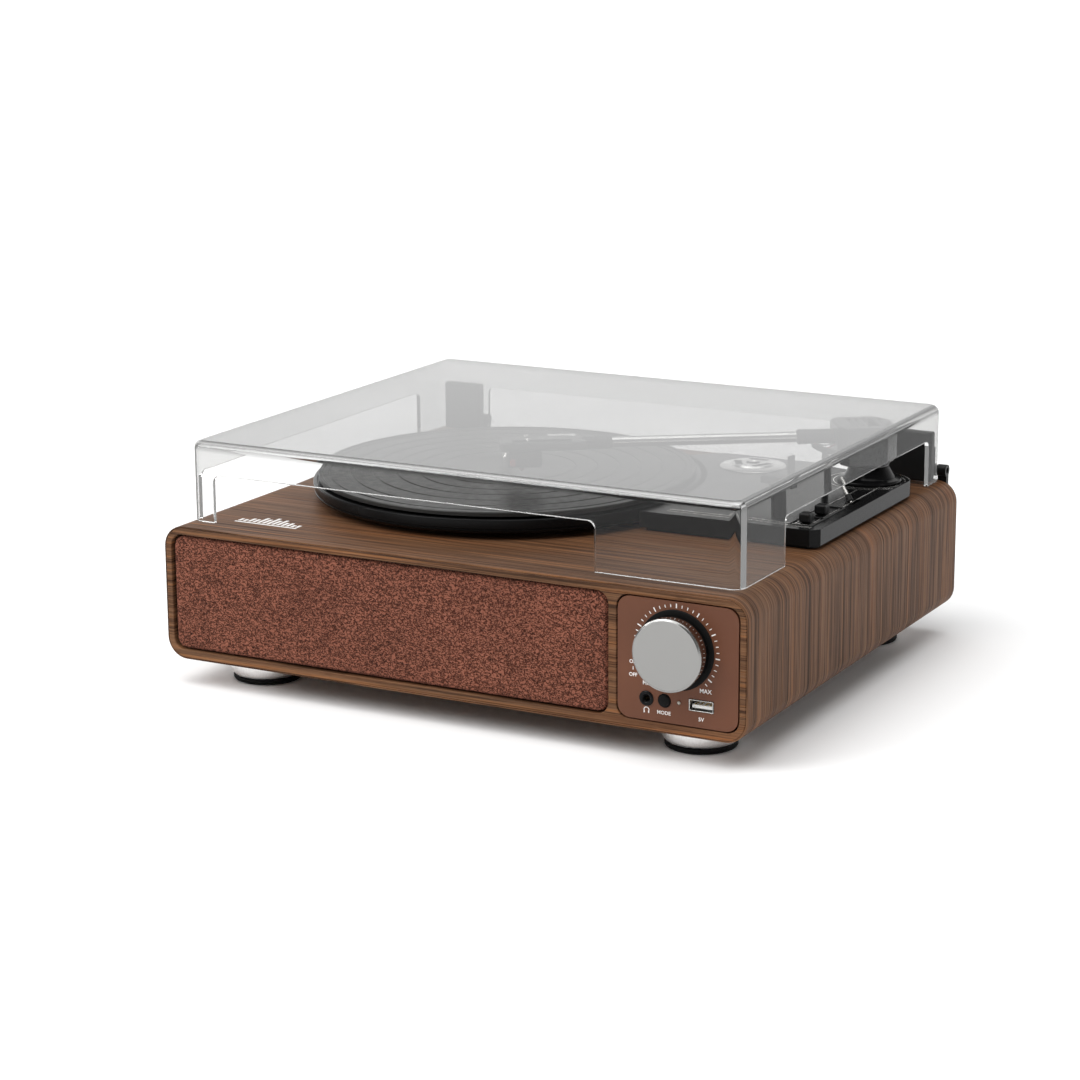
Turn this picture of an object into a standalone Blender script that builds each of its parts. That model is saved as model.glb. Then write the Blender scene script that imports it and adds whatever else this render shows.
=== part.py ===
"""Turntable record player: walnut cabinet with speakers, platter, straight tonearm and clear cover.

Metres, +Z up. The origin is on the floor, under the middle of the cabinet. The front faces -Y.
"""
import math

import bmesh
import bpy
from mathutils import Vector

# ---- driving dimensions -------------------------------------------------------------------
GAP = 0.0003
FOOT_H = 0.0152
CASE_W, CASE_D, CASE_H, CASE_R = 0.350, 0.295, 0.075, 0.012
WALL = 0.009
FRONT, BACK = -CASE_D / 2, CASE_D / 2
FLOOR_Z = FOOT_H
TOP = FOOT_H + CASE_H
MID_Z = FOOT_H + CASE_H / 2

BAFFLE_T = 0.009
GRILLE_X, GRILLE_W = -0.0365, 0.2668
PANEL_X, PANEL_W = 0.13645, 0.0671
WINDOW_H, WINDOW_R = 0.0640, 0.0068
WINDOW_Z = FOOT_H + 0.0378
REVEAL = 0.0007

KNOB = Vector((0.1357, FRONT, FOOT_H + 0.0446))
KNOB_R, KNOB_REACH = 0.0191, 0.0118
JACK_X, BUTTON_X, LED_X, USB_X = 0.1193, 0.1293, 0.1374, 0.1498
PORT_Z = FOOT_H + 0.0173

SPINDLE = Vector((-0.042, 0.002, TOP))
PLATTER_R, PLATTER_LIFT, RIM_H, MAT_TOP = 0.110, 0.0035, 0.008, 0.015
RING_R, PULLEY_R, PULLEY_AWAY = 0.088, 0.005, 0.0985
PULLEY_ANGLE = math.radians(140)

PIVOT = Vector((0.145, 0.083, TOP))
PLINTH_H = 0.011
DECK = TOP + PLINTH_H
ARM_Z = TOP + 0.035
ARM_ANGLE = math.radians(214.1)
ARM_REACH = 0.208
TUBE_R, COLLAR_R = 0.0030, 0.0041

COVER_X, COVER_W, COVER_D = 0.0028, 0.3291, 0.2790
COVER_BASE, COVER_TOP, COVER_T = TOP + 0.002, TOP + 0.0468, 0.0025
HINGE_Y, HINGE_Z, HINGE_X = 0.1490, TOP + 0.0055, 0.1478
FOOT_XY = (0.1334, 0.1115)


# ---- scene, materials and modelling helpers -----------------------------------------------
def clear_scene():
    for obj in list(bpy.data.objects):
        bpy.data.objects.remove(obj, do_unlink=True)


def new_collection(name):
    group = bpy.data.collections.new(name)
    bpy.context.scene.collection.children.link(group)
    return group


def finish(name, color, roughness, metallic=0.0, alpha=1.0):
    mat = bpy.data.materials.new(name)
    mat.use_nodes = True
    shader = mat.node_tree.nodes["Principled BSDF"]
    shader.inputs["Base Color"].default_value = (*color, 1.0)
    shader.inputs["Roughness"].default_value = roughness
    shader.inputs["Metallic"].default_value = metallic
    shader.inputs["Alpha"].default_value = alpha
    return mat


def place(name, mesh, mat, location, rotation=(0, 0, 0), group=None):
    obj = bpy.data.objects.new(name, mesh)
    (group or PARTS).objects.link(obj)
    obj.location = location
    obj.rotation_euler = rotation
    if mat:
        mesh.materials.append(mat)
    return obj


def mesh_from(bm, name):
    mesh = bpy.data.meshes.new(name)
    bm.to_mesh(mesh)
    bm.free()
    return mesh


AXIS_TURN = {"Z": (0, 0, 0), "Y": (-math.pi / 2, 0, 0), "X": (0, math.pi / 2, 0)}


def box(name, size, centre, mat, rotation=(0, 0, 0), group=None):
    bm = bmesh.new()
    bmesh.ops.create_cube(bm, size=1.0)
    bmesh.ops.scale(bm, vec=size, verts=bm.verts)
    return place(name, mesh_from(bm, name), mat, centre, rotation, group)


def cylinder(name, radius, length, centre, mat, axis="Z", sides=32, group=None):
    bm = bmesh.new()
    bmesh.ops.create_cone(bm, cap_ends=True, segments=sides, radius1=radius, radius2=radius, depth=length)
    obj = place(name, mesh_from(bm, name), mat, centre, AXIS_TURN[axis], group)
    obj.data.shade_smooth()
    obj.data.set_sharp_from_angle(angle=math.radians(35))
    return obj


def turned(name, profile, centre, mat, axis="Z", steps=48, closed=False):
    """Spin (radius, height) points about the axis; they run from the top down the outer side."""
    mesh = bpy.data.meshes.new(name)
    count = len(profile)
    edges = [(i, i + 1) for i in range(count - 1)]
    if closed:
        edges.append((count - 1, 0))
    mesh.from_pydata([(r, 0, z) for r, z in profile], edges, [])
    obj = place(name, mesh, mat, centre, AXIS_TURN[axis])
    screw = obj.modifiers.new("turn", "SCREW")
    screw.steps = screw.render_steps = steps
    screw.use_merge_vertices = True
    screw.merge_threshold = 0.00001
    screw.use_smooth_shade = True
    return obj


def arc(cx, cy, radius, start, end, steps):
    turn = (end - start) / steps
    return [(cx + radius * math.cos(start + turn * i), cy + radius * math.sin(start + turn * i))
            for i in range(steps + 1)]


def rounded_rect(width, height, radius, cx=0.0, cy=0.0, steps=5):
    points = []
    for quarter, (sx, sy) in enumerate(((1, 1), (-1, 1), (-1, -1), (1, -1))):
        x = cx + sx * (width / 2 - radius)
        y = cy + sy * (height / 2 - radius)
        points += arc(x, y, radius, quarter * math.pi / 2, (quarter + 1) * math.pi / 2, steps)
    return points


def circle(radius, cx=0.0, cy=0.0, sides=32):
    return arc(cx, cy, radius, 0, math.tau * (sides - 1) / sides, sides - 1)


def flat_solid(name, outlines, thickness, centre, mat, rotation=(0, 0, 0), group=None):
    """A flat filled outline, with any further outlines as holes, made a mesh of its thickness."""
    curve = bpy.data.curves.new(name, "CURVE")
    curve.dimensions = "2D"
    curve.fill_mode = "BOTH"
    curve.extrude = thickness / 2
    for outline in outlines:
        spline = curve.splines.new("POLY")
        spline.points.add(len(outline) - 1)
        for point, (x, y) in zip(spline.points, outline):
            point.co = (x, y, 0, 1)
        spline.use_cyclic_u = True
    flat = bpy.data.objects.new(name + "_outline", curve)
    PARTS.objects.link(flat)
    graph = bpy.context.evaluated_depsgraph_get()
    mesh = bpy.data.meshes.new_from_object(flat.evaluated_get(graph))
    bpy.data.objects.remove(flat, do_unlink=True)
    bm = bmesh.new()
    bm.from_mesh(mesh)
    bmesh.ops.remove_doubles(bm, verts=bm.verts, dist=0.000001)
    bmesh.ops.dissolve_limit(bm, angle_limit=0.001, verts=bm.verts, edges=bm.edges)
    bmesh.ops.recalc_face_normals(bm, faces=bm.faces)
    bm.to_mesh(mesh)
    bm.free()
    mesh.materials.clear()
    return place(name, mesh, mat, centre, rotation, group)


def upright(name, outlines, thickness, front_y, mat, group=None):
    """A flat solid standing across the front: outline (x, z), its front face at front_y."""
    return flat_solid(name, outlines, thickness, (0, front_y + thickness / 2, 0), mat,
                      (math.pi / 2, 0, 0), group)


def bevel(obj, width, segments=2, angle=40):
    mod = obj.modifiers.new("edges", "BEVEL")
    mod.width = width
    mod.segments = segments
    mod.limit_method = "ANGLE"
    mod.angle_limit = math.radians(angle)
    return obj


def cut(obj, cutter):
    cutter.hide_render = True
    cutter.display_type = "WIRE"
    mod = obj.modifiers.new("cut", "BOOLEAN")
    mod.operation = "DIFFERENCE"
    mod.solver = "EXACT"
    mod.object = cutter
    return obj


def bore(obj, radius, length, centre, axis="Z", sides=32):
    return cut(obj, cylinder(obj.name + "_bore", radius, length, centre, None, axis, sides, CUTTERS))


def joint_empty(name, location):
    empty = bpy.data.objects.new(name, None)
    PARTS.objects.link(empty)
    empty.location = location
    empty.empty_display_size = 0.01
    return empty


def attach(pieces, empty):
    for piece in pieces:
        piece.parent = empty
        piece.location = Vector(piece.location) - Vector(empty.location)


# ---- finishes -----------------------------------------------------------------------------
def make_finishes():
    return {
        "walnut": finish("walnut", (0.23, 0.14, 0.09), 0.45),
        "cloth": finish("cloth", (0.30, 0.11, 0.07), 0.95),
        "brown": finish("brown", (0.17, 0.075, 0.045), 0.35),
        "silver": finish("silver", (0.62, 0.61, 0.59), 0.30, 1.0),
        "dark_metal": finish("dark_metal", (0.05, 0.04, 0.04), 0.15, 1.0),
        "steel": finish("steel", (0.60, 0.60, 0.62), 0.25, 1.0),
        "brass": finish("brass", (0.75, 0.55, 0.25), 0.30, 1.0),
        "black": finish("black", (0.015, 0.015, 0.016), 0.40),
        "gloss_black": finish("gloss_black", (0.012, 0.012, 0.013), 0.22),
        "rubber": finish("rubber", (0.012, 0.012, 0.012), 0.80),
        "white": finish("white", (0.80, 0.80, 0.78), 0.40),
        "red": finish("red", (0.50, 0.03, 0.02), 0.40),
        "board": finish("board", (0.03, 0.12, 0.05), 0.45),
        "fibre": finish("fibre", (0.30, 0.22, 0.15), 0.85),
        "paper": finish("paper", (0.05, 0.05, 0.05), 0.90),
        "clear": finish("clear", (0.92, 0.92, 0.92), 0.05, 0.0, 0.25),
    }


# ---- cabinet ------------------------------------------------------------------------------
def build_cabinet():
    outer = rounded_rect(CASE_W, CASE_H, CASE_R, 0, MID_Z, 8)
    inner = rounded_rect(CASE_W - 2 * WALL, CASE_H - 2 * WALL, 0.004, 0, MID_Z, 3)
    shell_front = FRONT + BAFFLE_T + GAP
    shell = upright("cabinet_shell", [outer, inner], BACK - shell_front, shell_front, MAT["walnut"])
    deep = 0.03
    bore(shell, 0.0090, deep, (SPINDLE.x, SPINDLE.y, TOP))
    bore(shell, 0.0075, deep, (*pulley_place(), TOP))
    bore(shell, 0.0080, deep, (PIVOT.x, PIVOT.y, TOP))
    bevel(shell, 0.0008, 1, 60)

    window = rounded_rect(GRILLE_W + 2 * REVEAL, WINDOW_H + 2 * REVEAL, WINDOW_R, GRILLE_X, WINDOW_Z)
    panel = rounded_rect(PANEL_W + 2 * REVEAL, WINDOW_H + 2 * REVEAL, WINDOW_R, PANEL_X, WINDOW_Z)
    baffle = upright("front_baffle", [outer, window, panel], BAFFLE_T, FRONT, MAT["walnut"])
    bevel(baffle, 0.0007, 1)

    speaker_z = MID_Z
    holes = [circle(0.0255, x, speaker_z) for x in SPEAKER_X]
    board_front = FRONT + BAFFLE_T + GAP
    board_outline = rounded_rect(0.2630, 0.0560, 0.003, -0.0340, MID_Z, 2)
    upright("speaker_board", [board_outline] + holes, 0.006, board_front, MAT["fibre"])

    rim = rounded_rect(GRILLE_W - 0.001, WINDOW_H - 0.001, WINDOW_R, GRILLE_X, WINDOW_Z)
    opening = rounded_rect(GRILLE_W - 0.014, WINDOW_H - 0.010, 0.004, GRILLE_X, WINDOW_Z, 3)
    upright("grille_frame", [rim, opening], 0.003, FRONT + 0.0036, MAT["black"])
    cloth_outline = rounded_rect(GRILLE_W, WINDOW_H, WINDOW_R, GRILLE_X, WINDOW_Z)
    cloth = upright("grille_cloth", [cloth_outline], 0.0028, FRONT + 0.0005, MAT["cloth"])
    bevel(cloth, 0.0012)

    back_outline = rounded_rect(CASE_W - 2 * WALL - 2 * GAP, CASE_H - 2 * WALL - 2 * GAP, 0.004, 0, MID_Z, 3)
    back_holes = [circle(r + GAP, x, BACK_PORT_Z, 24) for _, x, r in BACK_PORTS]
    upright("back_panel", [back_outline] + back_holes, 0.006, BACK - 0.0064, MAT["black"])


def pulley_place():
    return (SPINDLE.x + PULLEY_AWAY * math.cos(PULLEY_ANGLE),
            SPINDLE.y + PULLEY_AWAY * math.sin(PULLEY_ANGLE))


SPEAKER_X = (-0.1110, 0.0380)
BACK_PORT_Z = FOOT_H + 0.030
BACK_PORTS = (("dc_inlet", 0.120, 0.0055), ("line_out_left", 0.085, 0.0050),
              ("line_out_right", 0.065, 0.0050))


def build_speakers():
    for side, x in zip(("left", "right"), SPEAKER_X):
        rear = (x, FRONT + BAFFLE_T, MID_Z)
        frame = [(0.0275, -0.0002), (0.0275, -0.0020), (0.0236, -0.0020), (0.0236, 0.0004), (0.0130, 0.0150),
                 (0.0, 0.0150), (0.0, 0.0270), (0.0162, 0.0270), (0.0170, 0.0262), (0.0170, 0.0170),
                 (0.0140, 0.0164), (0.0250, 0.0014), (0.0250, -0.0002)]
        turned("speaker_driver_" + side, frame, rear, MAT["black"], "Y", 24, True)
        cone = [(0.0, -0.0002), (0.0060, 0.0012), (0.0080, 0.0030), (0.0195, -0.0020), (0.0215, -0.0030),
                (0.0232, -0.0016), (0.0232, -0.0006), (0.0190, 0.0008), (0.0085, 0.0090), (0.0, 0.0090)]
        turned("speaker_cone_" + side, cone[::-1], rear, MAT["paper"], "Y", 24)


# ---- control panel ------------------------------------------------------------------------
def build_controls():
    face = FRONT + 0.0002
    outline = rounded_rect(PANEL_W, WINDOW_H, WINDOW_R, PANEL_X, WINDOW_Z)
    holes = [circle(0.0040, KNOB.x, KNOB.z, 24), circle(0.0034, JACK_X, PORT_Z, 28),
             circle(0.0037, BUTTON_X, PORT_Z, 28), circle(0.0013, LED_X, PORT_Z, 16),
             rounded_rect(0.0140, 0.0065, 0.0004, USB_X, PORT_Z, 1)]
    panel = upright("control_panel", [outline] + holes, 0.003, face, MAT["brown"])
    bevel(panel, 0.0004, 1, 80)
    board_y = face + 0.0113
    rear_gap = board_y - GAP

    box("control_board", (0.0600, 0.0016, 0.0520), (PANEL_X - 0.0020, board_y + 0.0008, MID_Z), MAT["board"])

    pot_front = face + 0.003 + GAP
    pot = cylinder("volume_pot", 0.0085, rear_gap - pot_front, (KNOB.x, (rear_gap + pot_front) / 2, KNOB.z),
                   MAT["steel"], "Y", 32)
    bore(pot, 0.0033, 0.012, (KNOB.x, pot_front, KNOB.z), "Y", 24)
    knob_face = FRONT - KNOB_REACH
    shaft_back, shaft_front = pot_front + 0.0050, knob_face + 0.0060
    shaft = cylinder("volume_shaft", 0.0030, shaft_back - shaft_front,
                     (KNOB.x, (shaft_back + shaft_front) / 2, KNOB.z), MAT["brass"], "Y", 24)
    body_front, body_back = knob_face + 0.0022 + GAP, face - 0.0014
    body = cylinder("volume_knob", KNOB_R - 0.0003, body_back - body_front,
                    (KNOB.x, (body_back + body_front) / 2, KNOB.z), MAT["dark_metal"], "Y", 40)
    bore(body, 0.0033, 0.020, (KNOB.x, shaft_front - GAP + 0.010, KNOB.z), "Y", 24)
    bevel(body, 0.0003, 1)
    cap = [(0.0, 0.0022), (KNOB_R, 0.0022), (KNOB_R, 0.0008), (KNOB_R - 0.0010, 0.0), (0.0, 0.0)]
    top = turned("knob_cap", cap, (KNOB.x, knob_face, KNOB.z), MAT["silver"], "Y", 40)
    attach([shaft, body, top], joint_empty("volume_turn", KNOB))

    jack = [(0.0018, 0.0), (0.0024, -0.0), (0.0031, 0.0005), (0.0031, 0.0108), (0.0, 0.0108), (0.0, 0.0095),
            (0.0018, 0.0095)]
    jack_y = rear_gap - 0.0108
    turned("headphone_jack", jack[::-1], (JACK_X, jack_y, PORT_Z), MAT["black"], "Y", 28, True)

    button = [(0.0, 0.0070), (0.0034, 0.0070), (0.0034, 0.0006), (0.0028, 0.0), (0.0, -0.0002)]
    button_y = face - 0.0009
    press = turned("mode_button", button, (BUTTON_X, button_y, PORT_Z), MAT["rubber"], "Y", 28)
    attach([press], joint_empty("mode_press", (BUTTON_X, FRONT, PORT_Z)))

    led = [(0.0, 0.0114), (0.0010, 0.0114), (0.0010, 0.0004), (0.0006, 0.0), (0.0, 0.0)]
    turned("status_led", led, (LED_X, rear_gap - 0.0114, PORT_Z), MAT["white"], "Y", 16)

    usb_y = face - 0.0004
    depth = rear_gap - usb_y
    shell = box("usb_shell", (0.0134, depth, 0.0059), (USB_X, usb_y + depth / 2, PORT_Z), MAT["steel"])
    cut(shell, box("usb_cavity", (0.0126, depth, 0.0051), (USB_X, usb_y + depth / 2 - 0.001, PORT_Z), None,
                   group=CUTTERS))
    tongue_length = depth - 0.001 - GAP - 0.0015
    box("usb_tongue", (0.0112, tongue_length, 0.0018),
        (USB_X, usb_y + 0.0015 + tongue_length / 2, PORT_Z - 0.0008),
        MAT["white"])


# ---- electronics and rear sockets ---------------------------------------------------------
def build_electronics():
    inner_floor = FLOOR_Z + WALL
    box("main_board", (0.1300, 0.0900, 0.0016), (0.0650, 0.0700, inner_floor + 0.0060), MAT["board"])

    out = BACK - 0.0004
    for name, x, radius in BACK_PORTS:
        if name.startswith("line_out"):
            profile = [(0.0016, 0.0122), (0.0041, 0.0122), (0.0041, 0.0020), (0.0062, 0.0020), (0.0062, GAP),
                       (radius, GAP), (radius, -0.0150), (0.0, -0.0150), (0.0, 0.0040), (0.0016, 0.0040)]
            mat = MAT["red"] if name.endswith("right") else MAT["white"]
        else:
            hole = 0.0030
            profile = [(hole, 0.0012), (radius + 0.0015, 0.0012), (radius + 0.0015, GAP), (radius, GAP),
                       (radius, -0.0150), (0.0, -0.0150), (0.0, -0.0100), (hole, -0.0100)]
            mat = MAT["black"]
        turned(name, profile, (x, out, BACK_PORT_Z), mat, "Y", 20, True)


# ---- feet ---------------------------------------------------------------------------------
def build_feet():
    pad_h = 0.0032
    profile = [(0.0, FOOT_H - GAP), (0.0213, FOOT_H - GAP), (0.0211, 0.0100), (0.0206, 0.0065),
               (0.0196, 0.0044),
               (0.0184, pad_h), (0.0190, pad_h - 0.0001), (0.0192, 0.0024), (0.0186, 0.0), (0.0, 0.0)]
    for side, sx in (("left", -1), ("right", 1)):
        for end, sy in (("front", -1), ("rear", 1)):
            spot = (sx * FOOT_XY[0], sy * FOOT_XY[1], 0)
            turned("foot_" + end + "_" + side, profile, spot, MAT["silver"], "Z", 28)


# ---- platter and drive --------------------------------------------------------------------
def build_platter():
    bottom, rim, top = PLATTER_LIFT, PLATTER_LIFT + RIM_H, MAT_TOP
    web = bottom + 0.0045
    profile = [(0.0040, top - 0.0028), (0.1000, top - 0.0028), (0.1000, rim - 0.0006), (0.1074, rim - 0.0006),
               (0.1078, rim), (0.1094, rim), (PLATTER_R, rim - 0.0006), (PLATTER_R, bottom + 0.0014),
               (0.1086, bottom), (0.1062, bottom), (0.1062, web), (RING_R, web), (RING_R, bottom),
               (RING_R - 0.003, bottom), (RING_R - 0.003, web), (0.0100, web), (0.0100, bottom),
               (0.0040, bottom)]
    platter = turned("platter", profile, SPINDLE, MAT["gloss_black"], "Z", 56, True)
    mat_under = top - 0.0028 + GAP
    mat_profile = [(0.0040, top), (0.1064, top), (0.1070, top - 0.0005), (0.1068, mat_under),
                   (0.0040, mat_under)]
    slip_mat = turned("platter_mat", mat_profile, SPINDLE, MAT["rubber"], "Z", 48, True)
    spindle = [(0.0, 0.0230), (0.0022, 0.0226), (0.0036, 0.0205), (0.0036, -0.0290), (0.0, -0.0300)]
    axle = turned("spindle", spindle, SPINDLE, MAT["steel"], "Z", 28)
    attach([platter, slip_mat, axle], joint_empty("platter_turn", SPINDLE))

    bearing = [(0.0039, 0.0020), (0.0140, 0.0020), (0.0140, GAP), (0.0087, GAP), (0.0087, -0.0320),
               (0.0, -0.0320), (0.0, -0.0305), (0.0039, -0.0305)]
    turned("platter_bearing", bearing, SPINDLE, MAT["brass"], "Z", 24, True)

    px, py = pulley_place()
    centre = Vector((px, py, TOP))
    motor_top = -WALL - GAP
    turned("drive_motor", [(0.0018, motor_top), (0.0125, motor_top), (0.0140, motor_top - 0.0012),
                           (0.0140, motor_top - 0.0220), (0.0, motor_top - 0.0220),
                           (0.0, motor_top - 0.0060), (0.0018, motor_top - 0.0060)],
           centre, MAT["steel"], "Z", 20, True)
    belt_z = PLATTER_LIFT + 0.0020
    pulley = [(0.0, 0.0077), (PULLEY_R + 0.0004, 0.0077), (PULLEY_R + 0.0004, 0.0074), (PULLEY_R, 0.0072),
              (PULLEY_R, 0.0038), (PULLEY_R + 0.0004, 0.0034), (PULLEY_R + 0.0004, 0.0022), (0.0015, 0.0022),
              (0.0015, motor_top - 0.0050), (0.0, motor_top - 0.0050)]
    wheel = turned("motor_pulley", pulley, centre, MAT["brass"], "Z", 20)
    attach([wheel], joint_empty("pulley_turn", centre))
    belt_outlines = [belt_loop(GAP + 0.0007), belt_loop(GAP)]
    flat_solid("drive_belt", belt_outlines, 0.0030, (SPINDLE.x, SPINDLE.y, TOP + belt_z), MAT["rubber"],
               (0, 0, PULLEY_ANGLE))


def belt_loop(clear):
    """The loop round the platter's drive ring and the pulley, the pulley lying along +X."""
    big, small = RING_R + clear, PULLEY_R + clear
    lean = math.acos((big - small) / PULLEY_AWAY)
    return arc(0, 0, big, lean, math.tau - lean, 44) + arc(PULLEY_AWAY, 0, small, -lean, lean, 8)


# ---- tonearm deck -------------------------------------------------------------------------
def deck_outline(inset, around_platter):
    """The deck's plan: a hollow arc round the platter, then the rear edge and the outer side."""
    left, right = 0.0647, 0.1665 - inset
    front, rear = -0.0410 + inset, 0.1035 - inset
    radius = around_platter + inset
    first = math.atan2(front - SPINDLE.y, math.sqrt(radius ** 2 - (front - SPINDLE.y) ** 2))
    last = math.radians(50)
    points = arc(SPINDLE.x, SPINDLE.y, radius, last, first, 14)
    corner, rear_round = 0.0045, 0.0120
    points += [(right - corner, front), (right, front + corner)]
    points += arc(right - rear_round, rear - rear_round, rear_round, 0, math.pi / 2, 6)
    points += [(left - 0.0170 + inset, rear)]
    return points


def build_deck():
    low = TOP + 0.0020
    deck = flat_solid("tonearm_deck", [deck_outline(0.0, 0.1135)], DECK - low, (0, 0, (DECK + low) / 2),
                      MAT["gloss_black"])
    join(deck, flat_solid("deck_base", [deck_outline(0.0022, 0.1135)], 0.0030,
                          (0, 0, TOP + GAP + 0.0015), None,
                          group=CUTTERS))
    bore(deck, 0.0080, 0.03, (PIVOT.x, PIVOT.y, TOP))
    bore(deck, ADAPTER_R + 0.0008, 0.0040, (*ADAPTER_XY, DECK), sides=40)
    for _, x, y, length in SWITCHES:
        cut(deck, box("slot", (0.0040, length, 0.0080), (x, y, DECK), None, group=CUTTERS))
    bore(deck, 0.0026, 0.0120, (*LIFT_XY, DECK), sides=20)
    bore(deck, 0.0022, 0.0090, (*REST_XY, DECK), sides=20)
    cut(deck, box("lever_slot", (0.0052, 0.0130, 0.0100), (LEVER_XY[0], LEVER_XY[1], DECK), None,
                  group=CUTTERS))
    bevel(deck, 0.0008, 1, 60)

    for name, x, y, _ in SWITCHES:
        knob = box(name, (0.0066, 0.0066, 0.0050), (x, y, DECK + GAP + 0.0025), MAT["black"])
        bevel(knob, 0.0006, 1)
        stem = box("stem", (0.0030, 0.0030, 0.0050), (x, y, DECK - 0.0010), None, group=CUTTERS)
        join(knob, stem)
        attach([knob], joint_empty(name + "_slide", (x, y, DECK)))

    adapter = [(0.0040, 0.0022), (0.0120, 0.0022), (0.0125, 0.0012), (0.0175, 0.0012), (ADAPTER_R, 0.0004),
               (ADAPTER_R, -0.0017), (0.0040, -0.0017)]
    puck = turned("single_adapter", adapter, (*ADAPTER_XY, DECK), MAT["gloss_black"], "Z", 28, True)
    attach([puck], joint_empty("adapter_lift", (*ADAPTER_XY, DECK)))


def join(obj, extra):
    extra.hide_render = True
    extra.display_type = "WIRE"
    mod = obj.modifiers.new("join", "BOOLEAN")
    mod.operation = "UNION"
    mod.solver = "EXACT"
    mod.object = extra
    return obj


ADAPTER_XY, ADAPTER_R = (0.0760, 0.0790), 0.0190
SWITCHES = (("speed_switch", 0.1535, -0.0250, 0.0120), ("auto_stop_switch", 0.1535, -0.0040, 0.0090))
LEVER_XY = (0.1575, 0.0300)
PARK_ANGLE = math.radians(264.1)
LIFT_AWAY, REST_AWAY = 0.0300, 0.1050
LIFT_XY = (PIVOT.x + LIFT_AWAY * math.cos(math.radians(239)),
           PIVOT.y + LIFT_AWAY * math.sin(math.radians(239)))
REST_XY = (PIVOT.x + REST_AWAY * math.cos(PARK_ANGLE), PIVOT.y + REST_AWAY * math.sin(PARK_ANGLE))


def along(distance, side=0.0, angle=None):
    """A plan point at a distance out from the pivot along the arm, and to one side of it."""
    a = ARM_ANGLE if angle is None else angle
    x = PIVOT.x + distance * math.cos(a) - side * math.sin(a)
    y = PIVOT.y + distance * math.sin(a) + side * math.cos(a)
    return x, y


def arm_box(name, near, far, width, low, high, mat, side=0.0, group=None):
    """A block along the arm between two distances from the pivot."""
    x, y = along((near + far) / 2, side)
    return box(name, (far - near, width, high - low), (x, y, (low + high) / 2), mat, (0, 0, ARM_ANGLE), group)


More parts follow.
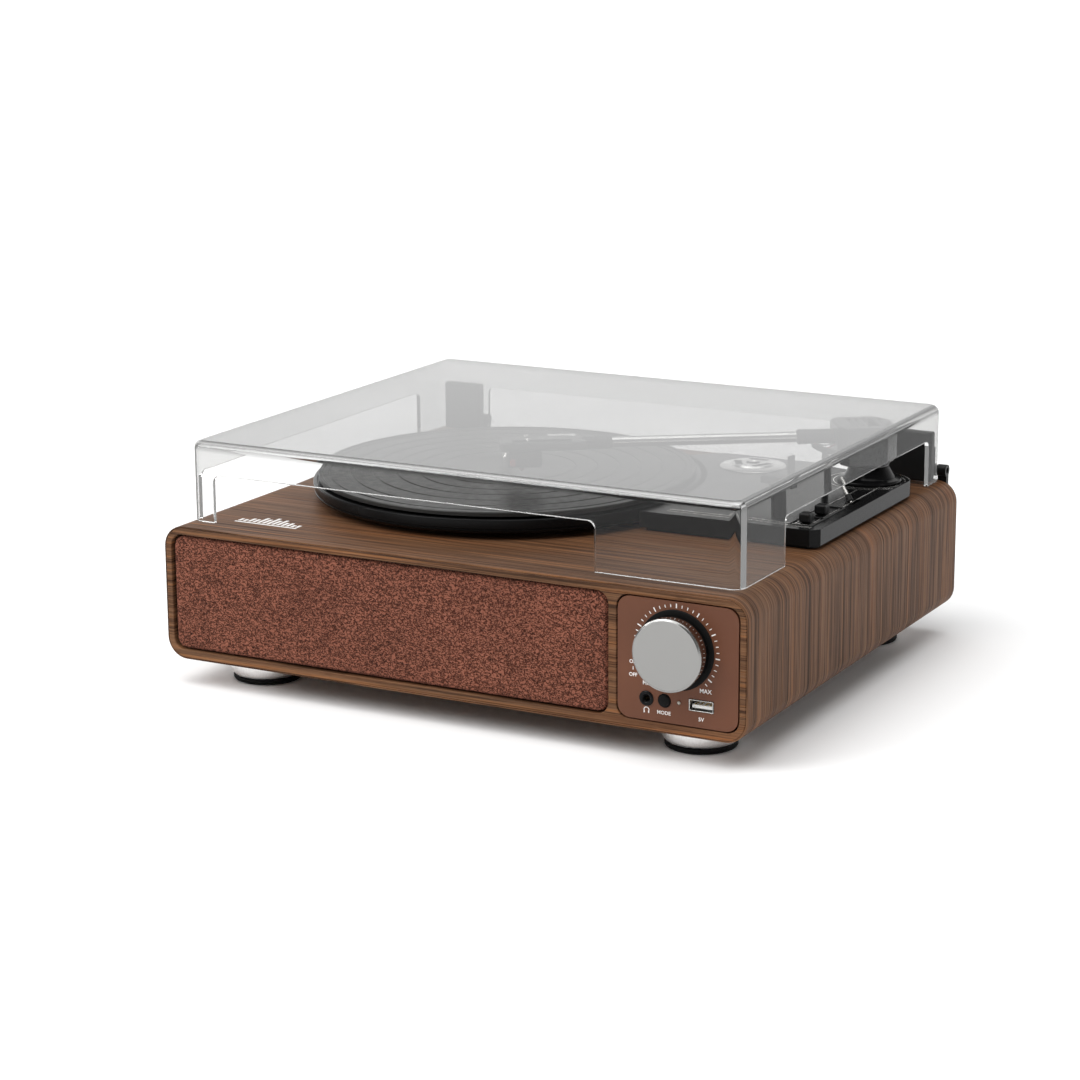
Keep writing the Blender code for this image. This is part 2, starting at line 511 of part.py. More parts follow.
def build_tonearm():
    deck_up = DECK - TOP
    pedestal = [(0.0054, deck_up + 0.0090), (0.0120, deck_up + 0.0090), (0.0150, deck_up + 0.0030),
                (0.0185, deck_up + 0.0022), (0.0190, deck_up + GAP), (0.0077, deck_up + GAP),
                (0.0077, -0.0180),
                (0.0054, -0.0180)]
    turned("arm_pedestal", pedestal, PIVOT, MAT["black"], "Z", 28, True)
    yoke_low = deck_up + 0.0090 + GAP
    post = [(0.0, 0.0295), (0.0085, 0.0295), (0.0085, 0.0240), (0.0120, 0.0215), (0.0120, yoke_low),
            (0.0050, yoke_low), (0.0050, -0.0220), (0.0, -0.0220)]
    post_obj = turned("arm_post", post, PIVOT, MAT["black"], "Z", 24)
    attach([post_obj], joint_empty("arm_swing", PIVOT))

    tube_near, tube_far = 0.0413, 0.1460
    lying = (math.pi / 2, 0, ARM_ANGLE + math.pi / 2)
    house_low, house_high = TOP + 0.0225, TOP + 0.0423
    plan = [(0.0200, 0.0110), (0.0160, 0.0165), (-0.0055, 0.0165), (-0.0135, 0.0045)]
    plan += [(x, -y) for x, y in reversed(plan)]
    housing = flat_solid("arm_housing", [plan], house_high - house_low,
                         (PIVOT.x, PIVOT.y, (house_low + house_high) / 2), MAT["black"], (0, 0, ARM_ANGLE))
    cut(housing, cylinder("post_pocket", 0.0125, 0.0160, (PIVOT.x, PIVOT.y, TOP + 0.0220), None,
                          "Z", 24, CUTTERS))
    cx, cy = along((0.0150 + tube_near) / 2)
    collar = cylinder("arm_collar", COLLAR_R, tube_near - 0.0150, (cx, cy, ARM_Z), None, "Z", 20, CUTTERS)
    collar.rotation_euler = lying
    join(housing, collar)
    for i in range(5):
        rib = -0.0080 + i * 0.0042
        cut(housing, arm_box("rib_groove", rib, rib + 0.0018, 0.0220, house_high - 0.0014,
                             house_high + 0.002, None,
                             group=CUTTERS))
    bevel(housing, 0.0016, 1, 50)

    tx, ty = along((tube_near + tube_far) / 2)
    tube = cylinder("arm_tube", TUBE_R, tube_far - tube_near - 2 * GAP, (tx, ty, ARM_Z),
                    MAT["silver"], "Z", 28)
    tube.rotation_euler = lying
    shell = arm_box("headshell", 0.1600, ARM_REACH, 0.0170, ARM_Z - 0.0025, ARM_Z + 0.0025, MAT["black"])
    bevel(shell, 0.0009, 1)
    nx, ny = along((tube_far + 0.1620) / 2)
    nut = cylinder("shell_collar", 0.0036, 0.1620 - tube_far, (nx, ny, ARM_Z), None, "Z", 20, CUTTERS)
    nut.rotation_euler = lying
    join(shell, nut)
    lift = arm_box("finger_lift", 0.1640, 0.1800, 0.0090, ARM_Z + 0.0004, ARM_Z + 0.0016,
                   MAT["silver"], -0.0133)
    bevel(lift, 0.0003, 1)
    cart_top = ARM_Z - 0.0025 - GAP
    cart = arm_box("cartridge", 0.1850, 0.2040, 0.0130, cart_top - 0.0095, cart_top, MAT["gloss_black"])
    bevel(cart, 0.0010, 1)
    sx, sy = along(0.1960)
    tip = [(0.0, -GAP), (0.0022, -GAP), (0.0018, -0.0012), (0.0004, -0.0030), (0.0, -0.0032)]
    stylus = turned("stylus", tip, (sx, sy, cart_top - 0.0095), MAT["red"], "Z", 16)
    attach([housing, tube, shell, lift, cart, stylus],
           joint_empty("arm_lift", (PIVOT.x, PIVOT.y, ARM_Z)))

    platform_top = ARM_Z - COLLAR_R - GAP
    lx, ly = LIFT_XY
    bar_from, bar_to = math.radians(206), math.radians(268)
    sector = (arc(0, 0, LIFT_AWAY + 0.0022, bar_from, bar_to, 10)
              + arc(0, 0, LIFT_AWAY - 0.0022, bar_to, bar_from, 10))
    riser = flat_solid("cue_lift", [sector], 0.0020, (PIVOT.x, PIVOT.y, platform_top - 0.0010), MAT["black"])
    stem_low = DECK - 0.0050
    join(riser, cylinder("lift_stem", 0.0020, platform_top - 0.0010 - stem_low,
                         (lx, ly, (platform_top - 0.0010 + stem_low) / 2), None, "Z", 16, CUTTERS))
    attach([riser], joint_empty("cue_rise", (lx, ly, DECK)))
    build_cue_lever()
    build_arm_rest()


def build_cue_lever():
    x, y = LEVER_XY
    curve = bpy.data.curves.new("cue_lever", "CURVE")
    curve.dimensions = "3D"
    curve.fill_mode = "FULL"
    curve.bevel_depth = 0.0011
    curve.bevel_resolution = 2
    curve.use_fill_caps = True
    spline = curve.splines.new("POLY")
    route = ((0, 0, -0.0030), (-0.0018, 0.0018, 0.0026), (-0.0080, 0.0080, 0.0066), (-0.0150, 0.0150, 0.0092))
    spline.points.add(len(route) - 1)
    for point, place_at in zip(spline.points, route):
        point.co = (*place_at, 1)
    lever = bpy.data.objects.new("cue_lever", curve)
    PARTS.objects.link(lever)
    curve.materials.append(MAT["silver"])
    lever.location = (x, y, DECK)
    attach([lever], joint_empty("cue_turn", (x, y, DECK - 0.0020)))


def build_arm_rest():
    """A shelf on a post, open towards the platter, with a clip that closes over the parked tube."""
    x, y = REST_XY
    shelf_top = ARM_Z - TUBE_R - GAP
    turn = (0, 0, PARK_ANGLE)
    rest = box("arm_rest", (0.0080, 0.0150, 0.0040), (x, y, shelf_top - 0.0020), MAT["black"], turn)
    join(rest, cylinder("rest_post", 0.0040, shelf_top - 0.0010 - DECK - GAP,
                        (x, y, (shelf_top - 0.0010 + DECK) / 2),
                        None, "Z", 20, CUTTERS))
    join(rest, cylinder("rest_pin", 0.0019, 0.0060, (x, y, DECK - 0.0005), None, "Z", 16, CUTTERS))
    clip_x, clip_y = along(REST_AWAY, 0.0089, PARK_ANGLE)
    clip_z = shelf_top + 0.0005
    clip = box("arm_clip", (0.0060, 0.0016, 0.0160), (clip_x, clip_y, clip_z + 0.0035), MAT["black"], turn)
    bevel(clip, 0.0004, 1)
    attach([clip], joint_empty("clip_turn", (clip_x, clip_y, clip_z)))


# ---- dust cover and hinges ----------------------------------------------------------------
def lid_block(name, width, depth, low, high, corner, edge, mat, group=None):
    bm = bmesh.new()
    bmesh.ops.create_cube(bm, size=1.0)
    bmesh.ops.scale(bm, vec=(width, depth, high - low), verts=bm.verts)
    posts = [e for e in bm.edges if abs(e.verts[0].co.z - e.verts[1].co.z) > 0.001]
    bmesh.ops.bevel(bm, geom=posts, offset=corner, segments=5, profile=0.5, affect="EDGES")
    bm.faces.ensure_lookup_table()
    crown = max(bm.faces, key=lambda f: f.calc_center_median().z)
    bmesh.ops.bevel(bm, geom=list(crown.edges), offset=edge, segments=4, profile=0.5, affect="EDGES")
    return place(name, mesh_from(bm, name), mat, (COVER_X, 0, (low + high) / 2), group=group)


def build_cover():
    cover = lid_block("dust_cover", COVER_W, COVER_D, COVER_BASE, COVER_TOP, 0.0055, 0.0045, MAT["clear"])
    cut(cover, lid_block("cover_hollow", COVER_W - 2 * COVER_T, COVER_D - 2 * COVER_T, COVER_BASE - 0.010,
                         COVER_TOP - COVER_T, 0.0035, 0.0025, None, CUTTERS))
    raised = TOP + 0.0286
    high, low = raised - 0.010, COVER_BASE - 0.010
    half_w, half_d = COVER_W / 2, COVER_D / 2
    windows = (("front", -0.1470, 0.0855, -half_d), ("rear", -0.1300, 0.1330, half_d),
               ("left", -0.1310, 0.1030, COVER_X - half_w), ("right", -0.0845, 0.1190, COVER_X + half_w))
    for side, start, end, wall in windows:
        middle, span = (start + end) / 2, end - start
        outline = rounded_rect(span, 0.040, 0.004, middle, raised - 0.020, 3)
        if side in ("front", "rear"):
            cutter = upright("window_" + side, [outline], 0.012, wall - 0.006, None, CUTTERS)
        else:
            cutter = flat_solid("window_" + side, [outline], 0.012, (wall, 0, 0), None,
                                (math.pi / 2, 0, math.pi / 2), CUTTERS)
        cut(cover, cutter)

    sockets = []
    for side, sx in (("left", -1), ("right", 1)):
        x = COVER_X + sx * HINGE_X
        inner_wall = COVER_D / 2 - COVER_T - 0.0008
        socket = box("hinge_socket_" + side, (0.0250, 0.0060, 0.0290),
                     (x, inner_wall - 0.0030, COVER_BASE + 0.0145),
                     MAT["black"])
        bevel(socket, 0.0012, 2)
        sockets.append(socket)
        leaf_y = COVER_D / 2 + GAP
        x += sx * 0.0044
        leaf = box("hinge_leaf_" + side, (0.0120, 0.0025, 0.0160),
                   (x, leaf_y + 0.00125, HINGE_Z + 0.0070), MAT["black"])
        join(leaf, cylinder("knuckle", 0.0036, 0.0120, (x, HINGE_Y, HINGE_Z), None, "X", 16, CUTTERS))
        join(leaf, box("knuckle_web", (0.0120, HINGE_Y - leaf_y - 0.001, 0.0050),
                       (x, (HINGE_Y + leaf_y + 0.001) / 2, HINGE_Z + 0.0010), None, group=CUTTERS))
        join(leaf, cylinder("trunnions", 0.0015, 0.0236, (x, HINGE_Y, HINGE_Z), None, "X", 14, CUTTERS))
        sockets.append(leaf)
        bracket_y = BACK + GAP
        bracket = box("hinge_bracket_" + side, (0.0260, 0.0030, 0.0260),
                      (x, bracket_y + 0.0015, HINGE_Z - 0.0190),
                      MAT["black"])
        for end in (-1, 1):
            join(bracket,
                 box("ear", (0.0055, 0.0035, 0.0180),
                     (x + end * 0.01025, bracket_y + 0.00175, HINGE_Z - 0.0080),
                              None, group=CUTTERS))
            join(bracket, cylinder("ear_top", 0.0035, 0.0055, (x + end * 0.01025, HINGE_Y, HINGE_Z), None,
                                   "X", 16, CUTTERS))
        bore(bracket, 0.0018, 0.040, (x, HINGE_Y, HINGE_Z), "X", 14)
    attach([cover] + sockets, joint_empty("cover_turn", (0, HINGE_Y, HINGE_Z)))


clear_scene()
PARTS = new_collection("record_player")
CUTTERS = new_collection("cutters")
MAT = make_finishes()
build_cabinet()
build_speakers()
build_controls()
build_electronics()
build_feet()
build_platter()
build_deck()
build_tonearm()
build_cover()
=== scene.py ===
import math

import bmesh
import bpy
from mathutils import Matrix, Vector


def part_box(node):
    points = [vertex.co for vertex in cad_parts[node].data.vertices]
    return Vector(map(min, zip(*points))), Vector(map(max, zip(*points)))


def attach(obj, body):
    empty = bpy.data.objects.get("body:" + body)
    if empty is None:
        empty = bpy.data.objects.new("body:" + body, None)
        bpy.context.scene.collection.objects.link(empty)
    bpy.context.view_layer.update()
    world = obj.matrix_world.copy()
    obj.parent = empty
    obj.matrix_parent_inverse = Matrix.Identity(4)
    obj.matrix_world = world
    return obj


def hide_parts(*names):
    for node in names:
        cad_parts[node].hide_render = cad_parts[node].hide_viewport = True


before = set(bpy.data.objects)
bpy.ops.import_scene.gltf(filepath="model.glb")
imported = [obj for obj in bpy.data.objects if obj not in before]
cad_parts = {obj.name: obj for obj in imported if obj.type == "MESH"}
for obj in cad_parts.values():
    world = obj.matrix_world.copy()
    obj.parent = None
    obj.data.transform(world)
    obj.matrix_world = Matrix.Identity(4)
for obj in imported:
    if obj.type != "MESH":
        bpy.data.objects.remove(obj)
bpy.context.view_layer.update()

# ---- places and sizes, from the frame ----
CASE_LOW, CASE_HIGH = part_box("cabinet_shell")
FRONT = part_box("front_baffle")[0].y
TOP, BOTTOM = CASE_HIGH.z, CASE_LOW.z
CASE_W, CASE_H = CASE_HIGH.x - CASE_LOW.x, TOP - BOTTOM
CASE_R = 0.012
LIP = 0.0008
PRINT = 0.00008
PEDESTAL_H = 0.0090


def middle(node):
    low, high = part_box(node)
    return (low + high) / 2


KNOB = middle("volume_knob")
PANEL_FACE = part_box("control_panel")[0].y
SPINDLE = middle("spindle")
PIVOT = middle("arm_pedestal")
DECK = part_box("arm_pedestal")[1].z - PEDESTAL_H
DECK_LOW, DECK_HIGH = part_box("tonearm_deck")
ARM_Z = (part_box("arm_tube")[0].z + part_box("arm_tube")[1].z) / 2
ARM_ANGLE = math.radians(214.1)


def along(distance, side=0.0, height=0.0):
    """A place on the tonearm: out from the pivot, to one side, and above the tube's middle."""
    c, s = math.cos(ARM_ANGLE), math.sin(ARM_ANGLE)
    return Vector((PIVOT.x + distance * c - side * s, PIVOT.y + distance * s + side * c, ARM_Z + height))


# ---- working by hand: selecting, shaping, handing over ----
def pick(*objs):
    bpy.ops.object.select_all(action="DESELECT")
    for obj in objs:
        obj.select_set(True)
        bpy.context.view_layer.objects.active = obj


def settle(obj):
    pick(obj)
    bpy.ops.object.transform_apply(location=True, rotation=True, scale=True)
    return obj


def modify(obj, kind, **settings):
    pick(obj)
    modifier = obj.modifiers.new(kind.title(), kind)
    for name, value in settings.items():
        setattr(modifier, name, value)
    bpy.ops.object.modifier_apply(modifier=modifier.name)
    return obj


def ease(obj, width, segments=2, angle=30):
    return modify(obj, "BEVEL", width=width, segments=segments, limit_method="ANGLE",
                  angle_limit=math.radians(angle), miter_outer="MITER_ARC")


def choose(obj, mode, wanted):
    """Goes into edit mode with the vertices, edges or faces that wanted() says yes to selected."""
    pick(obj)
    bpy.ops.object.mode_set(mode="EDIT")
    bpy.ops.mesh.select_mode(type=mode)
    bpy.ops.mesh.select_all(action="DESELECT")
    mesh = bmesh.from_edit_mesh(obj.data)
    for element in {"VERT": mesh.verts, "EDGE": mesh.edges, "FACE": mesh.faces}[mode]:
        if wanted(element):
            element.select_set(True)
    mesh.select_flush_mode()
    bmesh.update_edit_mesh(obj.data)


def leave_edit():
    bpy.ops.object.mode_set(mode="OBJECT")


def runs(edge, axis):
    way = edge.verts[1].co - edge.verts[0].co
    return abs(abs(way.normalized()[axis]) - 1) < 0.001


def hand_over(made, name, finish, body="cabinet", instead_of=(), angle=35, weighted=True):
    """Names a piece, or a list joined into one, gives it a finish from FINISH and a body, and shades it."""
    obj = joined(name, made) if isinstance(made, list) else made
    obj.name = obj.data.name = name
    settle(obj)
    if finish is not None:
        obj.data.materials.clear()
        obj.data.materials.append(FINISH[finish])
    bpy.ops.object.shade_smooth_by_angle(angle=math.radians(angle))
    if weighted:
        modify(obj, "WEIGHTED_NORMAL", keep_sharp=True)
    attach(obj, body)
    if instead_of:
        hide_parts(*instead_of)
    return obj


def block(size, centre, rounding=0.0, segments=2, turn=0.0):
    pick()
    bpy.ops.mesh.primitive_cube_add(size=1, location=centre, rotation=(0, 0, turn), scale=size)
    obj = settle(bpy.context.object)
    if rounding:
        choose(obj, "EDGE", lambda edge: True)
        bpy.ops.mesh.bevel(offset=rounding, segments=segments, affect="EDGES")
        leave_edit()
    return obj


def rod(radius, start, end, chamfer=0.0, sides=32):
    start, end = Vector(start), Vector(end)
    way = end - start
    pick()
    bpy.ops.mesh.primitive_cylinder_add(vertices=sides, radius=radius, depth=way.length,
                                        location=(start + end) / 2,
                                        rotation=way.to_track_quat("Z", "Y").to_euler())
    obj = settle(bpy.context.object)
    if chamfer:
        ease(obj, chamfer, 3, 50)
    return obj


def turned(profile, centre, lying=False, steps=96):
    """A turned shape from (radius, height) points. A lying one has its height towards the front."""
    mesh = bpy.data.meshes.new("profile")
    mesh.from_pydata([(r, 0, h) for r, h in profile], [(i, i + 1) for i in range(len(profile) - 1)], [])
    obj = bpy.data.objects.new("profile", mesh)
    bpy.context.scene.collection.objects.link(obj)
    choose(obj, "VERT", lambda vert: True)
    bpy.ops.mesh.spin(steps=steps, angle=math.tau, center=(0, 0, 0), axis=(0, 0, 1))
    bpy.ops.mesh.select_all(action="SELECT")
    bpy.ops.mesh.remove_doubles(threshold=0.000005)
    bpy.ops.mesh.normals_make_consistent(inside=False)
    leave_edit()
    obj.rotation_euler = (math.pi / 2 if lying else 0, 0, 0)
    obj.location = centre
    return settle(obj)


def joined(name, pieces):
    pick(*pieces[1:], pieces[0])
    if len(pieces) > 1:
        bpy.ops.object.join()
    obj = bpy.context.object
    obj.name = name
    return obj


def taken_from(node):
    """A copy of a CAD node, with its loose triangles merged back into whole faces."""
    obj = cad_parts[node].copy()
    obj.data = obj.data.copy()
    bpy.context.scene.collection.objects.link(obj)
    for key in list(obj.keys()):
        if key.startswith("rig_"):
            del obj[key]
    obj.parent = None
    obj.matrix_world = Matrix.Identity(4)
    obj.hide_render = obj.hide_viewport = False
    choose(obj, "VERT", lambda vert: True)
    bpy.ops.mesh.customdata_custom_splitnormals_clear()
    bpy.ops.mesh.remove_doubles(threshold=0.00001)
    bpy.ops.mesh.dissolve_limited(angle_limit=math.radians(1.5))
    leave_edit()
    return obj


def eased_copy(node, name, finish, body="cabinet", width=0.0004, segments=3, angle=35):
    obj = taken_from(node)
    ease(obj, width, segments)
    return hand_over(obj, name, finish, body, (node,), angle)


# ---- finishes ----
def node(tree, kind, inputs=None, **settings):
    made = tree.nodes.new("ShaderNode" + kind)
    for key, value in settings.items():
        setattr(made, key, value)
    for key, value in (inputs or {}).items():
        if isinstance(value, bpy.types.NodeSocket):
            tree.links.new(value, made.inputs[key])
        else:
            made.inputs[key].default_value = value
    return made


def sums(tree, operation, *values):
    return node(tree, "Math", dict(enumerate(values)), operation=operation).outputs[0]


def shades(tree, factor, stops):
    """A colour ramp. Each stop is (position, (red, green, blue))."""
    ramp = node(tree, "ValToRGB", {"Fac": factor})
    elements = ramp.color_ramp.elements
    while len(elements) < len(stops):
        elements.new(0.5)
    for element, (position, colour) in zip(elements, stops):
        element.position = position
        element.color = (*colour, 1)
    return ramp.outputs["Color"]


def levels(tree, factor, low, high, to_low, to_high):
    return node(tree, "MapRange", {"Value": factor, "From Min": low, "From Max": high, "To Min": to_low,
                                   "To Max": to_high}).outputs["Result"]


def blend(tree, factor, first, second, way="MIX"):
    mix = node(tree, "Mix", {0: factor}, data_type="RGBA", blend_type=way)
    for socket, value in ((mix.inputs[6], first), (mix.inputs[7], second)):
        if isinstance(value, bpy.types.NodeSocket):
            tree.links.new(value, socket)
        else:
            socket.default_value = (*value, 1)
    return mix.outputs[2]


def noise(tree, vector, scale, detail=3.0, rough=0.5, distortion=0.0):
    return node(tree, "TexNoise", {"Vector": vector, "Scale": scale, "Detail": detail, "Roughness": rough,
                                   "Distortion": distortion}).outputs["Fac"]


def new_finish(name, **constants):
    """A node material with these values set on its shader's own sockets."""
    finish = bpy.data.materials.new(name)
    finish.use_nodes = True
    tree = finish.node_tree
    shader = tree.nodes["Principled BSDF"]
    for key, value in constants.items():
        shader.inputs[key.replace("_", " ").title().replace("Ior", "IOR")].default_value = value
    place = node(tree, "TexCoord").outputs["Object"]
    return finish, tree, shader, place


def surface(tree, shader, colour=None, roughness=None, height=None, depth=0.0002, strength=0.5):
    if colour is not None:
        tree.links.new(colour, shader.inputs["Base Color"])
    if roughness is not None:
        tree.links.new(roughness, shader.inputs["Roughness"])
    if height is not None:
        bump = node(tree, "Bump", {"Height": height, "Strength": strength, "Distance": depth})
        tree.links.new(bump.outputs["Normal"], shader.inputs["Normal"])


def walnut(name, wraps):
    """Walnut veneer. It wraps over the case's top and down its sides, and lies level on the front board."""
    finish, tree, shader, place = new_finish(name, specular_ior_level=0.12)
    x, y, z = node(tree, "SeparateXYZ", {0: place}).outputs
    if wraps:
        down = sums(tree, "MULTIPLY", sums(tree, "SIGN", x), sums(tree, "SUBTRACT", TOP, z))
        lengthways, across = sums(tree, "ADD", x, down), y
    else:
        lengthways, across = x, z

    def streaks(along_scale, across_scale, detail, rough, shift):
        vector = node(tree, "CombineXYZ", {0: sums(tree, "MULTIPLY", lengthways, along_scale),
                                           1: sums(tree, "MULTIPLY", across, across_scale), 2: shift})
        return noise(tree, vector.outputs[0], 1.0, detail, rough, 0.25)

    broad = streaks(4.0, 62.0, 2.0, 0.5, 1.3)
    bands = streaks(6.0, 380.0, 3.0, 0.6, 4.1)
    lines = streaks(11.0, 1250.0, 2.0, 0.6, 7.7)
    pores = streaks(120.0, 2600.0, 1.0, 0.5, 2.9)
    base = shades(tree, bands, ((0.28, (0.062, 0.030, 0.016)), (0.42, (0.112, 0.056, 0.029)),
                                (0.53, (0.158, 0.084, 0.046)), (0.64, (0.200, 0.090, 0.038)),
                                (0.78, (0.235, 0.122, 0.063))))
    tone = shades(tree, broad, ((0.30, (0.74, 0.70, 0.68)), (0.50, (1.0, 0.98, 0.95)),
                                (0.72, (1.18, 0.99, 0.82))))
    base = blend(tree, 0.8, base, tone, "MULTIPLY")
    fine = shades(tree, lines, ((0.38, (0.30, 0.27, 0.25)), (0.47, (0.84, 0.81, 0.79)),
                                (0.60, (1.18, 1.13, 1.07))))
    base = blend(tree, 0.85, base, fine, "MULTIPLY")
    speck = shades(tree, pores, ((0.30, (0.50, 0.47, 0.45)), (0.42, (1.0, 1.0, 1.0))))
    base = blend(tree, 0.6, base, speck, "MULTIPLY")
    surface(tree, shader, base, levels(tree, lines, 0.3, 0.7, 0.60, 0.46), lines, 0.00012, 0.35)
    return finish


def looped_cloth():
    finish, tree, shader, place = new_finish("looped_speaker_cloth", roughness=0.92, specular_ior_level=0.12,
                                             sheen_weight=0.12, sheen_roughness=0.5)
    shader.inputs["Sheen Tint"].default_value = (0.75, 0.42, 0.34, 1)
    stretch = node(tree, "Mapping", {"Vector": place, "Scale": (0.78, 1.0, 1.15)}).outputs[0]
    loops = noise(tree, stretch, 760.0, 1.0, 0.45, 0.6)
    ridge = sums(tree, "ABSOLUTE", sums(tree, "SUBTRACT", loops, 0.5))
    tuft = levels(tree, ridge, 0.0, 0.10, 0.0, 1.0)
    fibres = noise(tree, stretch, 2600.0, 2.0, 0.6)
    colour = shades(tree, tuft, ((0.0, (0.014, 0.0045, 0.0026)), (0.30, (0.080, 0.025, 0.014)),
                                 (0.70, (0.152, 0.050, 0.030)), (1.0, (0.245, 0.090, 0.058))))
    patches = shades(tree, noise(tree, place, 26.0, 2.0),
                     ((0.3, (0.88, 0.86, 0.85)), (0.7, (1.1, 1.08, 1.06))))
    colour = blend(tree, 0.8, colour, patches, "MULTIPLY")
    colour = blend(tree, 0.5, colour,
                   shades(tree, fibres, ((0.35, (0.7, 0.7, 0.7)), (0.65, (1.25, 1.22, 1.2)))), "MULTIPLY")
    height = sums(tree, "ADD", tuft, sums(tree, "MULTIPLY", fibres, 0.3))
    surface(tree, shader, colour, None, height, 0.0007, 0.9)
    return finish


def moulded(name, colour, roughness, grain=900.0, depth=0.00004, spread=0.12, **constants):
    """Moulded plastic, rubber or paint: a fine texture, and a slight change of tone and gloss over it."""
    finish, tree, shader, place = new_finish(name, **constants)
    wide = noise(tree, place, 14.0, 3.0)
    fine = noise(tree, place, grain, 2.0)
    low = tuple(c * (1 - spread) for c in colour)
    high = tuple(min(c * (1 + spread), 1.0) for c in colour)
    tint = shades(tree, wide, ((0.35, low), (0.65, high)))
    rough = levels(tree, sums(tree, "ADD", wide, fine), 0.7, 1.3, roughness * 0.85, min(roughness * 1.15, 1))
    surface(tree, shader, tint, rough, fine, depth, 0.4)
    return finish


def metal(name, colour, roughness, brushed=(1.0, 1.0, 1.0), depth=0.00001):
    """Metal with fine marks drawn out along one direction."""
    finish, tree, shader, place = new_finish(name, metallic=1.0)
    drawn = node(tree, "Mapping", {"Vector": place, "Scale": brushed}).outputs[0]
    marks = noise(tree, drawn, 1500.0, 3.0, 0.6)
    cloud = noise(tree, place, 60.0, 2.0)
    tint = shades(tree, marks, ((0.35, tuple(c * 0.92 for c in colour)), (0.65, colour)))
    rough = levels(tree, sums(tree, "ADD", marks, cloud), 0.7, 1.3, roughness * 0.8, roughness * 1.25)
    surface(tree, shader, tint, rough, marks, depth, 0.3)
    return finish


def spun_metal(name, colour, roughness, centre, up):
    """A lathe-turned face: rings round a centre, in the plane across the axis up."""
    finish, tree, shader, place = new_finish(name, metallic=1.0)
    moved = node(tree, "VectorMath", {0: place, 1: tuple(centre)}, operation="SUBTRACT").outputs[0]
    flat = tuple(0.0 if axis == up else 1.0 for axis in range(3))
    flat = node(tree, "VectorMath", {0: moved, 1: flat}, operation="MULTIPLY").outputs[0]
    away = node(tree, "VectorMath", {0: flat}, operation="LENGTH").outputs["Value"]
    rings = noise(tree, node(tree, "CombineXYZ", {0: sums(tree, "MULTIPLY", away, 4200.0)}).outputs[0], 1.0,
                  2.0)
    tint = shades(tree, rings, ((0.3, tuple(c * 0.93 for c in colour)), (0.7, colour)))
    surface(tree, shader, tint, levels(tree, rings, 0.3, 0.7, roughness * 0.85, roughness * 1.15), rings,
            0.000006, 0.3)
    return finish


def grooved_rubber():
    """The slip mat: fine moulded rings, with dust caught in them."""
    finish, tree, shader, place = new_finish("grooved_mat_rubber", specular_ior_level=0.4)
    moved = node(tree, "VectorMath", {0: place, 1: (SPINDLE.x, SPINDLE.y, 0)},
                 operation="SUBTRACT").outputs[0]
    flat = node(tree, "VectorMath", {0: moved, 1: (1, 1, 0)}, operation="MULTIPLY").outputs[0]
    away = node(tree, "VectorMath", {0: flat}, operation="LENGTH").outputs["Value"]
    rings = levels(tree, sums(tree, "SINE", sums(tree, "MULTIPLY", away, 4200.0)), -1, 1, 0, 1)
    dust = noise(tree, place, 240.0, 4.0)
    colour = shades(tree, rings, ((0.0, (0.008, 0.008, 0.008)), (1.0, (0.020, 0.020, 0.019))))
    colour = blend(tree, levels(tree, dust, 0.55, 0.9, 0.0, 0.2), colour, (0.06, 0.06, 0.058))
    surface(tree, shader, colour, levels(tree, dust, 0.3, 0.7, 0.34, 0.46), rings, 0.00010, 0.5)
    return finish


def clear_acrylic():
    """Clear acrylic that lets lamps through. Its crown is tinted much darker than its walls: painted shade
    for the dimmer look of the top seen at a low angle.
    """
    finish, tree, shader, place = new_finish("clear_acrylic_painted_dim_crown", transmission_weight=1.0, ior=1.49,
                                             roughness=0.0, specular_ior_level=0.32)
    z = node(tree, "SeparateXYZ", {0: place}).outputs["Z"]
    top, fade_from, fade_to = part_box("dust_cover")[1].z, 0.0060, 0.0030
    crown = levels(tree, z, top - fade_from, top - fade_to, 0.0, 1.0)
    cloud = noise(tree, place, 9.0, 2.0)
    walls = shades(tree, cloud, ((0.3, (0.86, 0.86, 0.855)), (0.7, (0.89, 0.89, 0.885))))
    # The crown's darker tint is painted shade, not a smokier sheet of acrylic.
    painted_dim_crown_tint = shades(tree, cloud, ((0.3, (0.44, 0.44, 0.437)), (0.7, (0.48, 0.48, 0.477))))
    surface(tree, shader, blend(tree, crown, walls, painted_dim_crown_tint))
    ray = node(tree, "LightPath").outputs
    lamp_or_diffuse = sums(tree, "MAXIMUM", ray["Is Shadow Ray"], ray["Is Diffuse Ray"])
    mirrored = sums(tree, "SUBTRACT", ray["Is Glossy Ray"], ray["Is Transmission Ray"])
    unbent = sums(tree, "MAXIMUM", lamp_or_diffuse, mirrored)
    open_way = node(tree, "BsdfTransparent", {"Color": (0.90, 0.90, 0.895, 1)})
    either = node(tree, "MixShader", {0: unbent, 1: shader.outputs[0], 2: open_way.outputs[0]})
    tree.links.new(either.outputs[0], tree.nodes["Material Output"].inputs["Surface"])
    return finish


def circuit_board():
    finish, tree, shader, place = new_finish("green_circuit_board", specular_ior_level=0.5)
    tracks = node(tree, "TexBrick", {"Vector": place, "Scale": 90.0, "Color1": (0.012, 0.085, 0.035, 1),
                                     "Color2": (0.014, 0.10, 0.04, 1),
                                     "Mortar": (0.05, 0.16, 0.08, 1)}).outputs[0]
    fine = noise(tree, place, 400.0)
    surface(tree, shader, tracks, levels(tree, fine, 0.3, 0.7, 0.3, 0.45), fine, 0.00005, 0.3)
    return finish


def fibreboard():
    finish, tree, shader, place = new_finish("pressed_fibreboard", specular_ior_level=0.25)
    chips = noise(tree, place, 420.0, 4.0, 0.7)
    colour = shades(tree, chips,
                    ((0.3, (0.16, 0.10, 0.055)), (0.55, (0.30, 0.20, 0.12)), (0.8, (0.42, 0.30, 0.19))))
    surface(tree, shader, colour, levels(tree, chips, 0.3, 0.7, 0.75, 0.9), chips, 0.0003, 0.5)
    return finish


